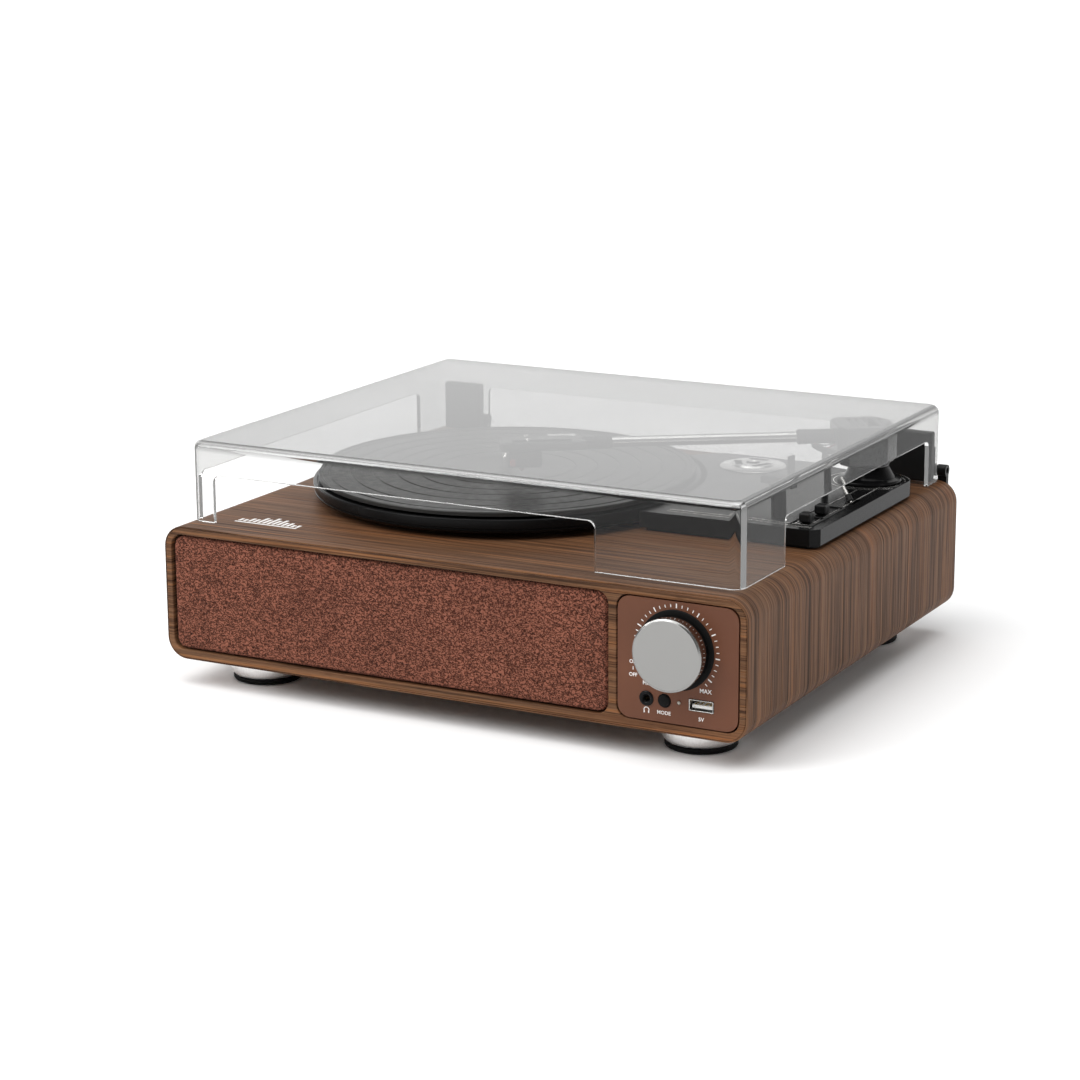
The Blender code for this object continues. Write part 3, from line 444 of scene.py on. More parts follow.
FINISH = {
    "case": walnut("walnut_wrap", True),
    "board": walnut("walnut_front", False),
    "cloth": looped_cloth(),
    "panel": moulded("brown_panel_paint", (0.122, 0.045, 0.0225), 0.42, 1400.0, 0.00002, 0.10,
                      specular_ior_level=0.25),
    "print": moulded("white_print", (0.82, 0.80, 0.78), 0.55, 2500.0, 0.00002, 0.04),
    "satin": spun_metal("satin_knob_face", (0.32, 0.318, 0.310), 0.24, KNOB, 1),
    "polished": metal("polished_dark_metal", (0.36, 0.34, 0.335), 0.07, (1, 0.05, 1)),
    "foot": metal("satin_foot_metal", (0.98, 0.97, 0.96), 0.42, (1, 1, 0.05)),
    "silver": metal("drawn_silver_tube", (0.84, 0.84, 0.83), 0.16, (1, 1, 0.2)),
    "steel": metal("plated_steel", (0.62, 0.61, 0.59), 0.24),
    "brass": metal("contact_brass", (0.80, 0.55, 0.22), 0.22),
    "gloss": moulded("gloss_black_plastic", (0.006, 0.006, 0.0063), 0.20, 700.0, 0.000002, 0.15,
                     specular_ior_level=0.10),
    "black": moulded("grained_black_plastic", (0.008, 0.008, 0.0083), 0.38, 1800.0, 0.00005, 0.15,
                     specular_ior_level=0.18),
    "arm": moulded("arm_black_plastic", (0.020, 0.020, 0.021), 0.30, 1500.0, 0.00004, 0.15),
    "rubber": moulded("black_rubber", (0.007, 0.007, 0.007), 0.60, 1200.0, 0.00006, 0.2,
                      specular_ior_level=0.08),
    "mat": grooved_rubber(),
    "clear": clear_acrylic(),
    "cone": moulded("cone_paper", (0.035, 0.033, 0.031), 0.85, 500.0, 0.0002, 0.3),
    "fibre": fibreboard(),
    "green": circuit_board(),
    "white": moulded("white_plastic", (0.78, 0.78, 0.76), 0.38, 900.0, 0.00002, 0.04),
    "red": moulded("red_plastic", (0.42, 0.016, 0.012), 0.32, 900.0, 0.00002, 0.1),
    "lamp": moulded("milky_lamp_lens", (0.62, 0.56, 0.48), 0.22, 600.0, 0.00001, 0.06,
                    transmission_weight=0.35),
}

INSIDE = {
    "fibre": ("speaker_board",),
    "black": ("grille_frame", "dc_inlet"),
    "steel": ("drive_motor", "volume_pot", "speaker_driver_left", "speaker_driver_right"),
    "cone": ("speaker_cone_left", "speaker_cone_right"),
    "green": ("main_board", "control_board"),
    "brass": ("platter_bearing", "motor_pulley", "volume_shaft"),
    "rubber": ("drive_belt",),
}


def finish_inside_nodes():
    """The CAD nodes that stay as they are, most of them inside the case, get their finishes."""
    for key, names in INSIDE.items():
        for name in names:
            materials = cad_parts[name].data.materials
            materials.clear()
            materials.append(FINISH[key])


# ---- case ----
def case_shell():
    """The wrapped case with a thin lip of veneer that runs forward round the front board."""
    shell = taken_from("cabinet_shell")
    set_back, seam = 0.0003, 0.0001
    reach = CASE_LOW.y - FRONT - set_back
    lip = block((CASE_W, reach, CASE_H), (0, CASE_LOW.y - reach / 2, (TOP + BOTTOM) / 2))
    choose(lip, "EDGE", lambda edge: runs(edge, 1))
    bpy.ops.mesh.bevel(offset=CASE_R, segments=8, affect="EDGES")
    leave_edit()
    choose(lip, "FACE", lambda face: abs(face.normal.y) > 0.9)
    bpy.ops.mesh.delete(type="FACE")
    leave_edit()
    modify(lip, "SOLIDIFY", thickness=LIP, offset=-1, use_even_offset=True)
    choose(lip, "EDGE", lambda edge: all(v.co.y < FRONT + 0.0005 for v in edge.verts))
    bpy.ops.mesh.bevel(offset=0.00022, segments=2, affect="EDGES")
    leave_edit()
    case = joined("walnut_case", [shell, lip])
    choose(case, "VERT", lambda vert: abs(vert.co.y - CASE_LOW.y) < seam)
    bpy.ops.mesh.remove_doubles(threshold=0.00006)
    leave_edit()
    hand_over(case, "walnut_case", "case", "cabinet", ("cabinet_shell",), 40)


def inset_place(co, amount):
    """A point on the case's outline moved inwards by an amount."""
    core_x, core_z, mid_z = CASE_W / 2 - CASE_R, CASE_H / 2 - CASE_R, (TOP + BOTTOM) / 2
    outline = 0.0009
    near = Vector((max(-core_x, min(core_x, co.x)), co.y, mid_z + max(-core_z, min(core_z, co.z - mid_z))))
    out = co - near
    return near + out * ((CASE_R - amount) / CASE_R) if out.length > CASE_R - outline else co


def front_board():
    board = taken_from("front_baffle")
    for vert in board.data.vertices:
        vert.co = inset_place(vert.co, LIP + 0.0001)
    ease(board, 0.00025, 2, 40)
    hand_over(board, "front_board", "board", "cabinet", ("front_baffle",), 40)


def speaker_cloth():
    """Looped cloth stretched over a padded frame: rounded corners, with its edge drawn back."""
    low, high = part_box("grille_cloth")
    width, height, radius = high.x - low.x, high.z - low.z, 0.0066
    centre = (low + high) / 2
    pick()
    bpy.ops.mesh.primitive_grid_add(x_subdivisions=260, y_subdivisions=72, size=1,
                                    location=(centre.x, low.y, centre.z), rotation=(math.pi / 2, 0, 0))
    cloth = bpy.context.object
    cloth.scale = (width, height, 1)
    settle(cloth)
    roll, drawn_back, swell, thick, turned_in = 0.0022, 0.0018, 0.0006, 0.0005, 0.002
    for vert in cloth.data.vertices:
        x, z = vert.co.x - centre.x, vert.co.z - centre.z
        over = max(abs(z) - (height / 2 - radius), 0.0)
        half = width / 2 - (radius - math.sqrt(max(radius ** 2 - over ** 2, 0.0)))
        x *= half / (width / 2)
        edge = max(min(half - abs(x), height / 2 - abs(z)), 0.0)
        drop = 0.0 if edge > roll else 1 - math.sqrt(max(1 - (1 - edge / roll) ** 2, 0.0))
        crown = (1 - (2 * x / width) ** 8) * (1 - (2 * z / height) ** 4)
        vert.co = Vector((centre.x + x, low.y + swell * (1 - crown) + drop * drawn_back, centre.z + z))
    modify(cloth, "SOLIDIFY", thickness=thick, offset=-1)
    hand_over(cloth, "speaker_cloth", "cloth", "cabinet", ("grille_cloth",), 80, False)


def back_of_case():
    eased_copy("back_panel", "rear_panel", "black", width=0.0003)
    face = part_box("back_panel")[1].y
    low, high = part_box("back_panel")
    heads = []
    for x in (low.x + 0.008, -0.055, 0.040, high.x - 0.008):
        for z in (low.z + 0.006, high.z - 0.006):
            head = turned([(0.0, 0.0), (0.0029, 0.0), (0.0027, 0.0007), (0.0016, 0.0011), (0.0, 0.0012)],
                          (x, face, z), False, 32)
            pick(head)
            bpy.ops.transform.rotate(value=math.pi / 2, orient_axis="X", center_override=(x, face, z))
            heads += [settle(head)]
    screws = joined("rear_screws", heads)
    hand_over(screws, "rear_screws", "steel", "cabinet")
    ribs = [block((0.050, 0.0008, 0.0012), (-0.110, face + 0.0003, low.z + 0.016 + i * 0.0034), 0.0003)
            for i in range(9)]
    hand_over(ribs, "rear_vent_ribs", "black", "cabinet")
    for name, key in (("line_out_left", "white"), ("line_out_right", "red")):
        eased_copy(name, name + "_socket", "steel", width=0.0002)
        at = middle(name)
        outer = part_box(name)[1].y
        ring = turned([(0.0022, 0.0), (0.0040, 0.0), (0.0040, 0.0006), (0.0036, 0.0010), (0.0026, 0.0010),
                       (0.0022, 0.0006), (0.0022, 0.0)], (at.x, outer, at.z), False, 48)
        pick(ring)
        bpy.ops.transform.rotate(value=math.pi / 2, orient_axis="X", center_override=(at.x, outer, at.z))
        hand_over(ring, name + "_ring", key, "cabinet")


def feet():
    cup = [(0.0, 0.0030), (0.0180, 0.0030), (0.0187, 0.0034), (0.0196, 0.0044), (0.0203, 0.0056),
           (0.0208, 0.0072), (0.0211, 0.0095), (0.0213, 0.0120), (0.0213, 0.0146), (0.0210, 0.0149),
           (0.0, 0.0149)]
    sole = [(0.0, 0.0), (0.0180, 0.0), (0.0187, 0.0003), (0.0191, 0.0010), (0.0192, 0.0022),
            (0.0189, 0.0029), (0.0182, 0.0032), (0.0, 0.0032)]
    for corner in ("front_left", "front_right", "rear_left", "rear_right"):
        at = middle("foot_" + corner)
        at.z = 0
        hand_over(turned(cup, at, steps=72), "foot_cup_" + corner, "foot", "cabinet",
                  ("foot_" + corner,), 50)
        hand_over(turned(sole, at, steps=72), "foot_sole_" + corner, "rubber", "cabinet", (), 50)


# ---- controls ----
def flat_on_panel(x, z, width, height, turn=0.0):
    """A mark printed on the panel."""
    mark = block((width, PRINT, height), (x, PANEL_FACE - PRINT / 2, z))
    if turn:
        pick(mark)
        bpy.ops.transform.rotate(value=turn, orient_axis="Y", center_override=(x, PANEL_FACE, z))
    return mark


def lettering(words, x, z, size):
    pick()
    bpy.ops.object.text_add(location=(x, PANEL_FACE + 0.00002, z), rotation=(math.pi / 2, 0, 0))
    text = bpy.context.object
    text.data.body = words
    text.data.size = size
    text.data.extrude = 0.00005
    text.data.offset = size * 0.012
    text.data.align_x, text.data.align_y = "CENTER", "CENTER"
    text.data.resolution_u = 3
    bpy.ops.object.convert(target="MESH")
    return settle(bpy.context.object)


def dial_marks():
    """Radial marks round the knob, every fourth one longer and bolder."""
    marks, each_side, apart, reach = [], 17, 7.85, 0.02305
    for step in range(-each_side, each_side + 1):
        angle = math.radians(apart * step)
        length, width = (0.0024, 0.00062) if step % 4 == 0 else (0.0015, 0.00040)
        at_x, at_z = KNOB.x + reach * math.sin(angle), KNOB.z + reach * math.cos(angle)
        mark = block((width, PRINT, length), (0, 0, 0))
        mark.rotation_euler = (0, angle, 0)
        mark.location = (at_x, PANEL_FACE - PRINT / 2, at_z)
        marks.append(settle(mark))
    hand_over(marks, "dial_marks", "print")


def panel_words():
    """Plain words for the controls, and a small head-set sign under the jack."""
    ground = BOTTOM
    words = [lettering("MAX", 0.1521, ground + 0.0252, 0.0031),
             lettering("MIN", 0.1197, ground + 0.0252, 0.0029),
             lettering("ON", 0.1117, ground + 0.0355, 0.0027),
             lettering("OFF", 0.1117, ground + 0.0287, 0.0027),
             flat_on_panel(0.1117, ground + 0.0322, 0.00035, 0.0017),
             lettering("MODE", 0.1290, ground + 0.0108, 0.0027),
             lettering("5V", 0.1498, ground + 0.0102, 0.0028)]
    jack = middle("headphone_jack")
    pick()
    bpy.ops.mesh.primitive_torus_add(location=(jack.x, PANEL_FACE, ground + 0.0112),
                                     rotation=(math.pi / 2, 0, 0), major_radius=0.0014,
                                     minor_radius=0.00022, major_segments=40, minor_segments=8)
    band = settle(bpy.context.object)
    choose(band, "FACE", lambda face: face.calc_center_median().z < ground + 0.0103)
    bpy.ops.mesh.delete(type="FACE")
    bpy.ops.mesh.select_all(action="SELECT")
    bpy.ops.mesh.fill_holes(sides=16)
    leave_edit()
    pads = [block((0.00065, 0.0004, 0.0013), (jack.x + side * 0.00125, PANEL_FACE, ground + 0.0103), 0.00012)
            for side in (-1, 1)]
    pick(band)
    bpy.ops.transform.resize(value=(1, 0.4, 1), center_override=(jack.x, PANEL_FACE, ground))
    hand_over(words + [band] + pads, "panel_words", "print", weighted=False)


def volume_knob():
    """The knob's body and face, each turned from its front backwards, and a black ring at its foot that is
    painted shadow round the knob.
    """
    low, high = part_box("volume_knob")
    reach, radius = high.y - low.y, (high.x - low.x) / 2
    body = [(0.0034, 0.0), (radius - 0.0004, 0.0), (radius, 0.0004), (radius, reach * 0.5),
            (radius, reach - 0.0005), (radius - 0.0004, reach), (0.0034, reach), (0.0034, 0.0)]
    hand_over(turned(body, (KNOB.x, high.y, KNOB.z), True, 128), "knob_side", "polished", "volume_knob",
              ("volume_knob",), 40)
    low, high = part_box("knob_cap")
    thick, radius = high.y - low.y, (high.x - low.x) / 2
    face = [(0.0, 0.0), (radius - 0.0003, 0.0), (radius, 0.0003), (radius, thick - 0.0009),
            (radius - 0.0002, thick - 0.0005), (radius - 0.0010, thick), (radius - 0.0016, thick - 0.0001),
            (0.010, thick - 0.00022), (0.0, thick - 0.00026)]
    hand_over(turned(face, (KNOB.x, high.y, KNOB.z), True, 128), "knob_face", "satin", "volume_knob",
              ("knob_cap",), 25)
    # A thin black ring round the knob's foot stands in for the shadow gap there: painted shadow, not a part.
    ring = [(0.0045, -0.0001), (0.0210, -0.0001), (0.0210, 0.0005), (0.0206, 0.0009), (0.0045, 0.0009),
            (0.0045, -0.0001)]
    hand_over(turned(ring, (KNOB.x, PANEL_FACE, KNOB.z), True, 96), "knob_painted_shadow_ring", "rubber", "cabinet",
              (), 40)


def small_controls():
    eased_copy("control_panel", "control_fascia", "panel", width=0.0003)
    jack = middle("headphone_jack")
    eased_copy("headphone_jack", "jack_barrel", "black", width=0.0001)
    collar = [(0.0019, -0.0002), (0.0038, -0.0002), (0.0040, 0.0002), (0.0037, 0.0007), (0.0030, 0.0009),
              (0.0022, 0.0006), (0.0019, 0.0001), (0.0019, -0.0002)]
    hand_over(turned(collar, (jack.x, PANEL_FACE, jack.z), True, 64), "jack_collar", "gloss", "cabinet",
              (), 50)
    contact = rod(0.0016, (jack.x, PANEL_FACE + 0.0062, jack.z), (jack.x, PANEL_FACE + 0.0066, jack.z))
    hand_over(contact, "jack_contact", "brass", "cabinet")

    low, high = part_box("mode_button")
    button = middle("mode_button")
    stem = high.y - low.y
    cap = [(0.0, 0.0), (0.0034, 0.0), (0.0034, stem - 0.0008), (0.0031, stem - 0.0003),
           (0.0024, stem - 0.00005), (0.0, stem)]
    hand_over(turned(cap, (button.x, high.y, button.z), True, 56), "mode_push_button", "rubber",
              "mode_button", ("mode_button",), 60)
    low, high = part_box("status_led")
    lens = middle("status_led")
    long = high.y - low.y
    dome = [(0.0, 0.0), (0.0010, 0.0), (0.0010, long - 0.0004), (0.0007, long - 0.0001), (0.0, long)]
    hand_over(turned(dome, (lens.x, high.y, lens.z), True, 32), "indicator_lens", "lamp", "cabinet",
              ("status_led",), 60)
    bezel = [(0.0011, -0.0001), (0.0016, -0.0001), (0.0016, 0.0001), (0.0011, 0.00025), (0.0011, -0.0001)]
    hand_over(turned(bezel, (lens.x, PANEL_FACE, lens.z), True, 32), "indicator_bezel", "panel")

    eased_copy("usb_shell", "charge_port_shell", "steel", width=0.00015)
    eased_copy("usb_tongue", "charge_port_tongue", "white", width=0.0002)
    low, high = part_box("usb_tongue")
    strips = [block((0.0011, 0.0050, 0.0003), (low.x + (high.x - low.x) * (0.14 + 0.24 * i), low.y + 0.0030,
                                               high.z + 0.0001), 0.0001) for i in range(4)]
    hand_over(strips, "charge_port_contacts", "brass", "cabinet")


# ---- platter and drive ----
def platter():
    low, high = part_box("platter")
    radius, base = (high.x - low.x) / 2, low.z
    rim = base + 0.0080
    profile = [(0.0040, high.z), (0.1000, high.z), (0.1000, rim - 0.0006), (0.1074, rim - 0.0006),
               (0.1078, rim - 0.0002), (0.1082, rim), (0.1093, rim), (0.1098, rim - 0.0003),
               (radius, rim - 0.0008), (radius, base + 0.0030), (radius - 0.0005, base + 0.0027),
               (radius - 0.0005, base + 0.0023), (radius, base + 0.0020), (radius - 0.0002, base + 0.0012),
               (radius - 0.0012, base + 0.0002), (radius - 0.0018, base), (0.1062, base),
               (0.1062, base + 0.0045), (0.0880, base + 0.0045), (0.0880, base), (0.0850, base),
               (0.0850, base + 0.0045), (0.0100, base + 0.0045), (0.0100, base), (0.0040, base),
               (0.0040, high.z)]
    plate = turned([(r, z - base) for r, z in profile], (SPINDLE.x, SPINDLE.y, base), False, 160)
    hand_over(plate, "platter_wheel", "gloss", "platter_group", ("platter",), 40)

    low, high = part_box("platter_mat")
    under, thick = low.z, high.z - low.z
    mat = [(0.0040, 0.0), (0.1068, 0.0), (0.1070, thick - 0.0006), (0.1066, thick), (0.1050, thick),
           (0.1044, thick - 0.0004)]
    for ring in range(6):
        out = 0.1015 - ring * 0.0125
        mat += [(out, thick - 0.0004), (out - 0.0004, thick - 0.0008), (out - 0.0014, thick - 0.0008),
                (out - 0.0018, thick - 0.0004)]
    mat += [(0.0260, thick - 0.0004), (0.0250, thick - 0.0009), (0.0040, thick - 0.0009), (0.0040, 0.0)]
    hand_over(turned(mat, (SPINDLE.x, SPINDLE.y, under), False, 160), "slip_mat", "mat", "platter_group",
              ("platter_mat",), 30)

    low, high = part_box("spindle")
    radius, tall = (high.x - low.x) / 2, high.z - low.z
    pin = [(0.0, 0.0), (radius, 0.0010), (radius, tall - 0.0032), (radius - 0.0002, tall - 0.0024),
           (radius - 0.0009, tall - 0.0010), (radius - 0.0020, tall - 0.0002), (0.0, tall)]
    hand_over(turned(pin, (SPINDLE.x, SPINDLE.y, low.z), False, 48), "centre_spindle", "steel",
              "platter_group", ("spindle",), 60)


# ---- tonearm deck ----
def tonearm_deck():
    """The deck with its bright lines, the frame and marks round its two switches, and their grips."""
    eased_copy("tonearm_deck", "arm_deck", "gloss", width=0.0007, angle=30)
    trims = []
    right, front = DECK_HIGH.x, DECK_LOW.y
    wide, tall, above, rounding = 0.0005, 0.0003, 0.0001, 0.0001
    rear, short_of, across = 0.1030, 0.004, 0.0900
    for inset in (0.0090, 0.0178):
        trims.append(block((wide, rear - inset - short_of - front, tall),
                           (right - inset, (front + inset + rear - short_of) / 2, DECK + above), rounding))
    for inset in (0.0060, 0.0100):
        trims.append(block((across - inset, wide, tall),
                           (right - inset - (across - inset) / 2, front + inset, DECK + above), rounding))
    hand_over(trims, "deck_lines", "steel", "cabinet")

    frame_bars = []
    low_y, between, high_y, mid_x = -0.0345, -0.0145, 0.0125, 0.1535
    bar, tall, above, rounding = 0.0010, 0.0008, 0.0003, 0.0003
    for x in (mid_x - 0.0062, mid_x + 0.0062):
        middle_y = (low_y + high_y) / 2
        frame_bars.append(block((bar, high_y - low_y, tall), (x, middle_y, DECK + above), rounding))
    for y in (low_y, between, high_y):
        frame_bars.append(block((0.0124, bar, tall), (mid_x, y, DECK + above), rounding))
    hand_over(frame_bars, "switch_frame", "black", "cabinet")

    marks = [block((0.0014, 0.0004, 0.0001), (mid_x - 0.0045, y, DECK + 0.00005))
             for y in (-0.0285, -0.0250, -0.0215, -0.0058, -0.0022)]
    hand_over(marks, "switch_marks", "print")

    rings = []
    for inner, outer in ((0.0206, 0.0211), (0.0236, 0.0240)):
        rings.append(turned([(inner, 0.0), (outer, 0.0), (outer, 0.0003), (inner, 0.0003), (inner, 0.0)],
                            (PIVOT.x, PIVOT.y, DECK - 0.0001), False, 120))
    arcs = joined("pivot_rings", rings)
    choose(arcs, "FACE", lambda face: face.calc_center_median().x > right - 0.0015)
    bpy.ops.mesh.delete(type="FACE")
    bpy.ops.mesh.select_all(action="SELECT")
    bpy.ops.mesh.fill_holes(sides=8)
    leave_edit()
    hand_over(arcs, "pivot_rings", "steel", "cabinet")
    for name in ("speed_switch", "auto_stop_switch"):
        eased_copy(name, name + "_slider", "black", name, 0.0003, 2)
        at, top, pitch = middle(name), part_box(name)[1].z, 0.0014
        grips = [block((0.0050, 0.0005, 0.0005), (at.x, at.y + step * pitch, top), 0.00015)
                 for step in (-1, 0, 1)]
        hand_over(grips, name + "_grips", "black", name)


def record_adapter():
    """The adapter for large-holed records, with its centre hole and three open windows."""
    low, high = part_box("single_adapter")
    at, radius, thick = middle("single_adapter"), (high.x - low.x) / 2, high.z - low.z
    puck = turned([(0.0040, 0.0), (radius - 0.0004, 0.0), (radius, 0.0004), (radius, thick - 0.0020),
                   (radius - 0.0008, thick - 0.0014), (0.0130, thick - 0.0008), (0.0122, thick),
                   (0.0046, thick), (0.0040, thick - 0.0005), (0.0040, 0.0)], (at.x, at.y,
                   low.z), False, 72)
    for window in range(3):
        angle = math.radians(90 + 120 * window)
        hole = block((0.0042, 0.0120, 0.020),
                     (at.x + 0.0083 * math.cos(angle), at.y + 0.0083 * math.sin(angle), at.z), 0.0010, 2,
                     angle)
        modify(puck, "BOOLEAN", operation="DIFFERENCE", object=hole, solver="EXACT")
        bpy.data.objects.remove(hole)
    hand_over(puck, "record_adapter", "silver", "single_adapter", ("single_adapter",), 35)


# ---- tonearm ----
def arm_base():
    low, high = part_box("arm_pedestal")
    tall = high.z - DECK
    tiers = [(0.0062, tall - 0.0090 + 0.0004), (0.0189, 0.0004), (0.0190, 0.0012), (0.0186, 0.0019),
             (0.0176, 0.0022), (0.0160, 0.0025), (0.0152, 0.0031), (0.0144, 0.0044), (0.0130, 0.0070),
             (0.0122, 0.0084), (0.0117, tall), (0.0062, tall), (0.0062, 0.0004)]
    hand_over(turned(tiers[1:] + [tiers[1]], (PIVOT.x, PIVOT.y, DECK), False, 96), "arm_base_tiers",
              "gloss", "cabinet", ("arm_pedestal",), 40)
    eased_copy("arm_post", "arm_swivel_post", "arm", "arm_swivel", 0.0003, 2)


def arm_parts():
    eased_copy("arm_housing", "arm_counterbalance", "arm", "arm", 0.0003, 2)
    near, far = 0.0413, 0.1460
    tube = rod((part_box("arm_tube")[1].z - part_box("arm_tube")[0].z) / 2, along(near + 0.0003),
               along(far - 0.0003), 0.0003, 64)
    hand_over(tube, "silver_arm_tube", "silver", "arm", ("arm_tube",), 40)
    bands = [rod(0.0044, along(at), along(at + 0.0012), 0.0002, 48) for at in (0.0390, 0.0355)]
    hand_over(bands, "collar_bands", "arm", "arm")
    nuts = [rod(0.0040, along(at), along(at + 0.0009), 0.0002, 48) for at in (0.1480, 0.1502, 0.1524, 0.1546)]
    hand_over(nuts, "lock_collar_rings", "arm", "arm")
    eased_copy("headshell", "head_shell", "arm", "arm", 0.0004, 2)
    top = 0.0025
    raised = block((0.0330, 0.0100, 0.0010), along(0.1850, 0, top + 0.0004), 0.0004, 2, ARM_ANGLE)
    hand_over(raised, "head_shell_ridge", "arm", "arm")
    heads = []
    for side in (-0.0045, 0.0045):
        at = along(0.1930, side, top)
        heads.append(turned([(0.0, 0.0), (0.0015, 0.0), (0.0015, 0.0012), (0.0012, 0.0016),
                             (0.0, 0.0016)], at, False, 24))
    hand_over(heads, "head_screws", "steel", "arm")
    eased_copy("finger_lift", "finger_plate", "silver", "arm", 0.0002, 2)
    eased_copy("cartridge", "pickup_cartridge", "gloss", "arm", 0.0004, 2)
    band = block((0.0030, 0.0134, 0.0040), along(0.2015, 0, -0.0090), 0.0003, 2, ARM_ANGLE)
    hand_over(band, "cartridge_band", "red", "arm")
    eased_copy("stylus", "stylus_tip", "red", "arm", 0.0001, 1)


def bent_wire(name, route, radius, finish, body, instead_of=()):
    """A wire through the route's points, as a smooth round tube."""
    curve = bpy.data.curves.new(name, "CURVE")
    curve.dimensions = "3D"
    curve.bevel_depth, curve.bevel_resolution, curve.use_fill_caps = radius, 4, True
    curve.resolution_u = 8
    line = curve.splines.new("NURBS")
    line.points.add(len(route) - 1)
    for point, at in zip(line.points, route):
        point.co = (*at, 1)
    line.use_endpoint_u, line.order_u = True, 3
    obj = bpy.data.objects.new(name, curve)
    bpy.context.scene.collection.objects.link(obj)
    pick(obj)
    bpy.ops.object.convert(target="MESH")
    return hand_over(bpy.context.object, name, finish, body, instead_of, 60, False)


def arm_wires():
    """Two fine leads from the counterbalance into the tube's collar."""
    for name, side, key in (("red_lead", 0.0026, "red"), ("white_lead", -0.0024, "white")):
        route = [along(0.0188, side, -0.0036), along(0.0225, side * 1.5, -0.0062),
                 along(0.0270, side * 1.2, -0.0058), along(0.0310, side * 0.7, -0.0038)]
        bent_wire(name, route, 0.00035, key, "arm")


def cueing():
    eased_copy("cue_lift", "cue_platform", "black", "cue_lift", 0.0003, 2)
    low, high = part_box("cue_lever")
    foot = Vector((high.x - 0.0012, low.y + 0.0012, DECK - 0.0020))
    reach = Vector((low.x + 0.0012, high.y - 0.0012, high.z - 0.0010)) - foot
    stick = rod(0.0010, foot + reach * 0.05, foot + reach, 0.0003, 32)
    hand_over(stick, "cue_stick", "steel", "cue_lever", ("cue_lever",))
    sleeve = rod(0.0017, foot + reach * 0.12, foot + reach * 0.34, 0.0004, 32)
    hand_over(sleeve, "cue_stick_sleeve", "black", "cue_lever")
    eased_copy("arm_rest", "arm_rest_post", "black", "cabinet", 0.0003, 2)
    eased_copy("arm_clip", "arm_rest_clip", "black", "arm_clip", 0.0002, 2)


# ---- cover and hinges ----
def lid_block(width, depth, low, high, corner, crown):
    middle_x = (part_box("dust_cover")[0].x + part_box("dust_cover")[1].x) / 2
    lid = block((width, depth, high - low), (middle_x, 0, (low + high) / 2))
    choose(lid, "EDGE", lambda edge: runs(edge, 2))
    bpy.ops.mesh.bevel(offset=corner, segments=8, affect="EDGES")
    leave_edit()
    choose(lid, "EDGE", lambda edge: all(v.co.z > high - 0.0001 for v in edge.verts))
    bpy.ops.mesh.bevel(offset=crown, segments=6, affect="EDGES")
    leave_edit()
    return lid


def dust_cover():
    low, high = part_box("dust_cover")
    width, depth, wall, open_below = high.x - low.x, high.y - low.y, 0.0025, 0.010
    outer_corner, outer_crown, inner_corner, inner_crown = 0.0070, 0.0044, 0.0022, 0.0014
    cover = lid_block(width, depth, low.z, high.z, outer_corner, outer_crown)
    hollow = lid_block(width - 2 * wall, depth - 2 * wall, low.z - open_below, high.z - wall, inner_corner,
                       inner_crown)
    modify(cover, "BOOLEAN", operation="DIFFERENCE", object=hollow, solver="EXACT")
    bpy.data.objects.remove(hollow)
    raised, corner, tall, through = TOP + 0.0286, 0.0040, 0.040, 0.012
    for across, start, end, wall_at in ((0, -0.1470, 0.0855, low.y), (0, -0.1300, 0.1330, high.y),
                                        (1, -0.1310, 0.1030, low.x), (1, -0.0845, 0.1190, high.x)):
        size = [end - start, through, tall] if across == 0 else [through, end - start, tall]
        centre = [(start + end) / 2, wall_at] if across == 0 else [wall_at, (start + end) / 2]
        window = block(size, (*centre, raised - tall / 2))
        choose(window, "EDGE", lambda edge: runs(edge, 1 - across))
        bpy.ops.mesh.bevel(offset=corner, segments=6, affect="EDGES")
        leave_edit()
        modify(cover, "BOOLEAN", operation="DIFFERENCE", object=window, solver="EXACT")
        bpy.data.objects.remove(window)
    ease(cover, 0.00035, 2, 50)
    hand_over(cover, "clear_cover", "clear", "cover", ("dust_cover",), 45)


def hinges():
    for side in ("left", "right"):
        eased_copy("hinge_socket_" + side, "hinge_box_" + side, "black", "cover", 0.0004, 2)
        eased_copy("hinge_leaf_" + side, "hinge_tab_" + side, "black", "cover", 0.0003, 2)
        eased_copy("hinge_bracket_" + side, "hinge_plate_" + side, "black", "cabinet", 0.0004, 2)
        low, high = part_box("hinge_bracket_" + side)
        heads = []
        plate, inset = 0.0030, 0.0065
        for x in (low.x + inset, high.x - inset):
            at = (x, low.y + plate, low.z + inset)
            head = turned([(0.0, 0.0), (0.0026, 0.0), (0.0024, 0.0006), (0.0, 0.0010)], at, False, 28)
            pick(head)
            bpy.ops.transform.rotate(value=math.pi / 2, orient_axis="X", center_override=at)
            heads.append(settle(head))
        hand_over(heads, "hinge_screws_" + side, "steel", "cabinet")


# ---- ornament on the case top ----
def top_ornament():
    """A plain printed ornament in the front left corner: bars of rising and falling height on a base line."""
    left, front, bars, pitch, bar_width = -0.1450, -0.1225, 13, 0.0031, 0.0019
    base_length, base_depth, film, lift = 0.0400, 0.0016, 0.00006, 0.00002
    marks = [block((base_length, base_depth, film), (left + base_length / 2, front, TOP + lift))]
    for step in range(bars):
        height = 0.0045 + 0.0085 * math.sin(math.pi * (step + 0.5) / bars) ** 2
        if step % 2:
            height *= 0.72
        marks.append(block((bar_width, height, film),
                           (left + 0.0014 + step * pitch, front + 0.0020 + height / 2, TOP + lift)))
    hand_over(marks, "top_ornament", "print")


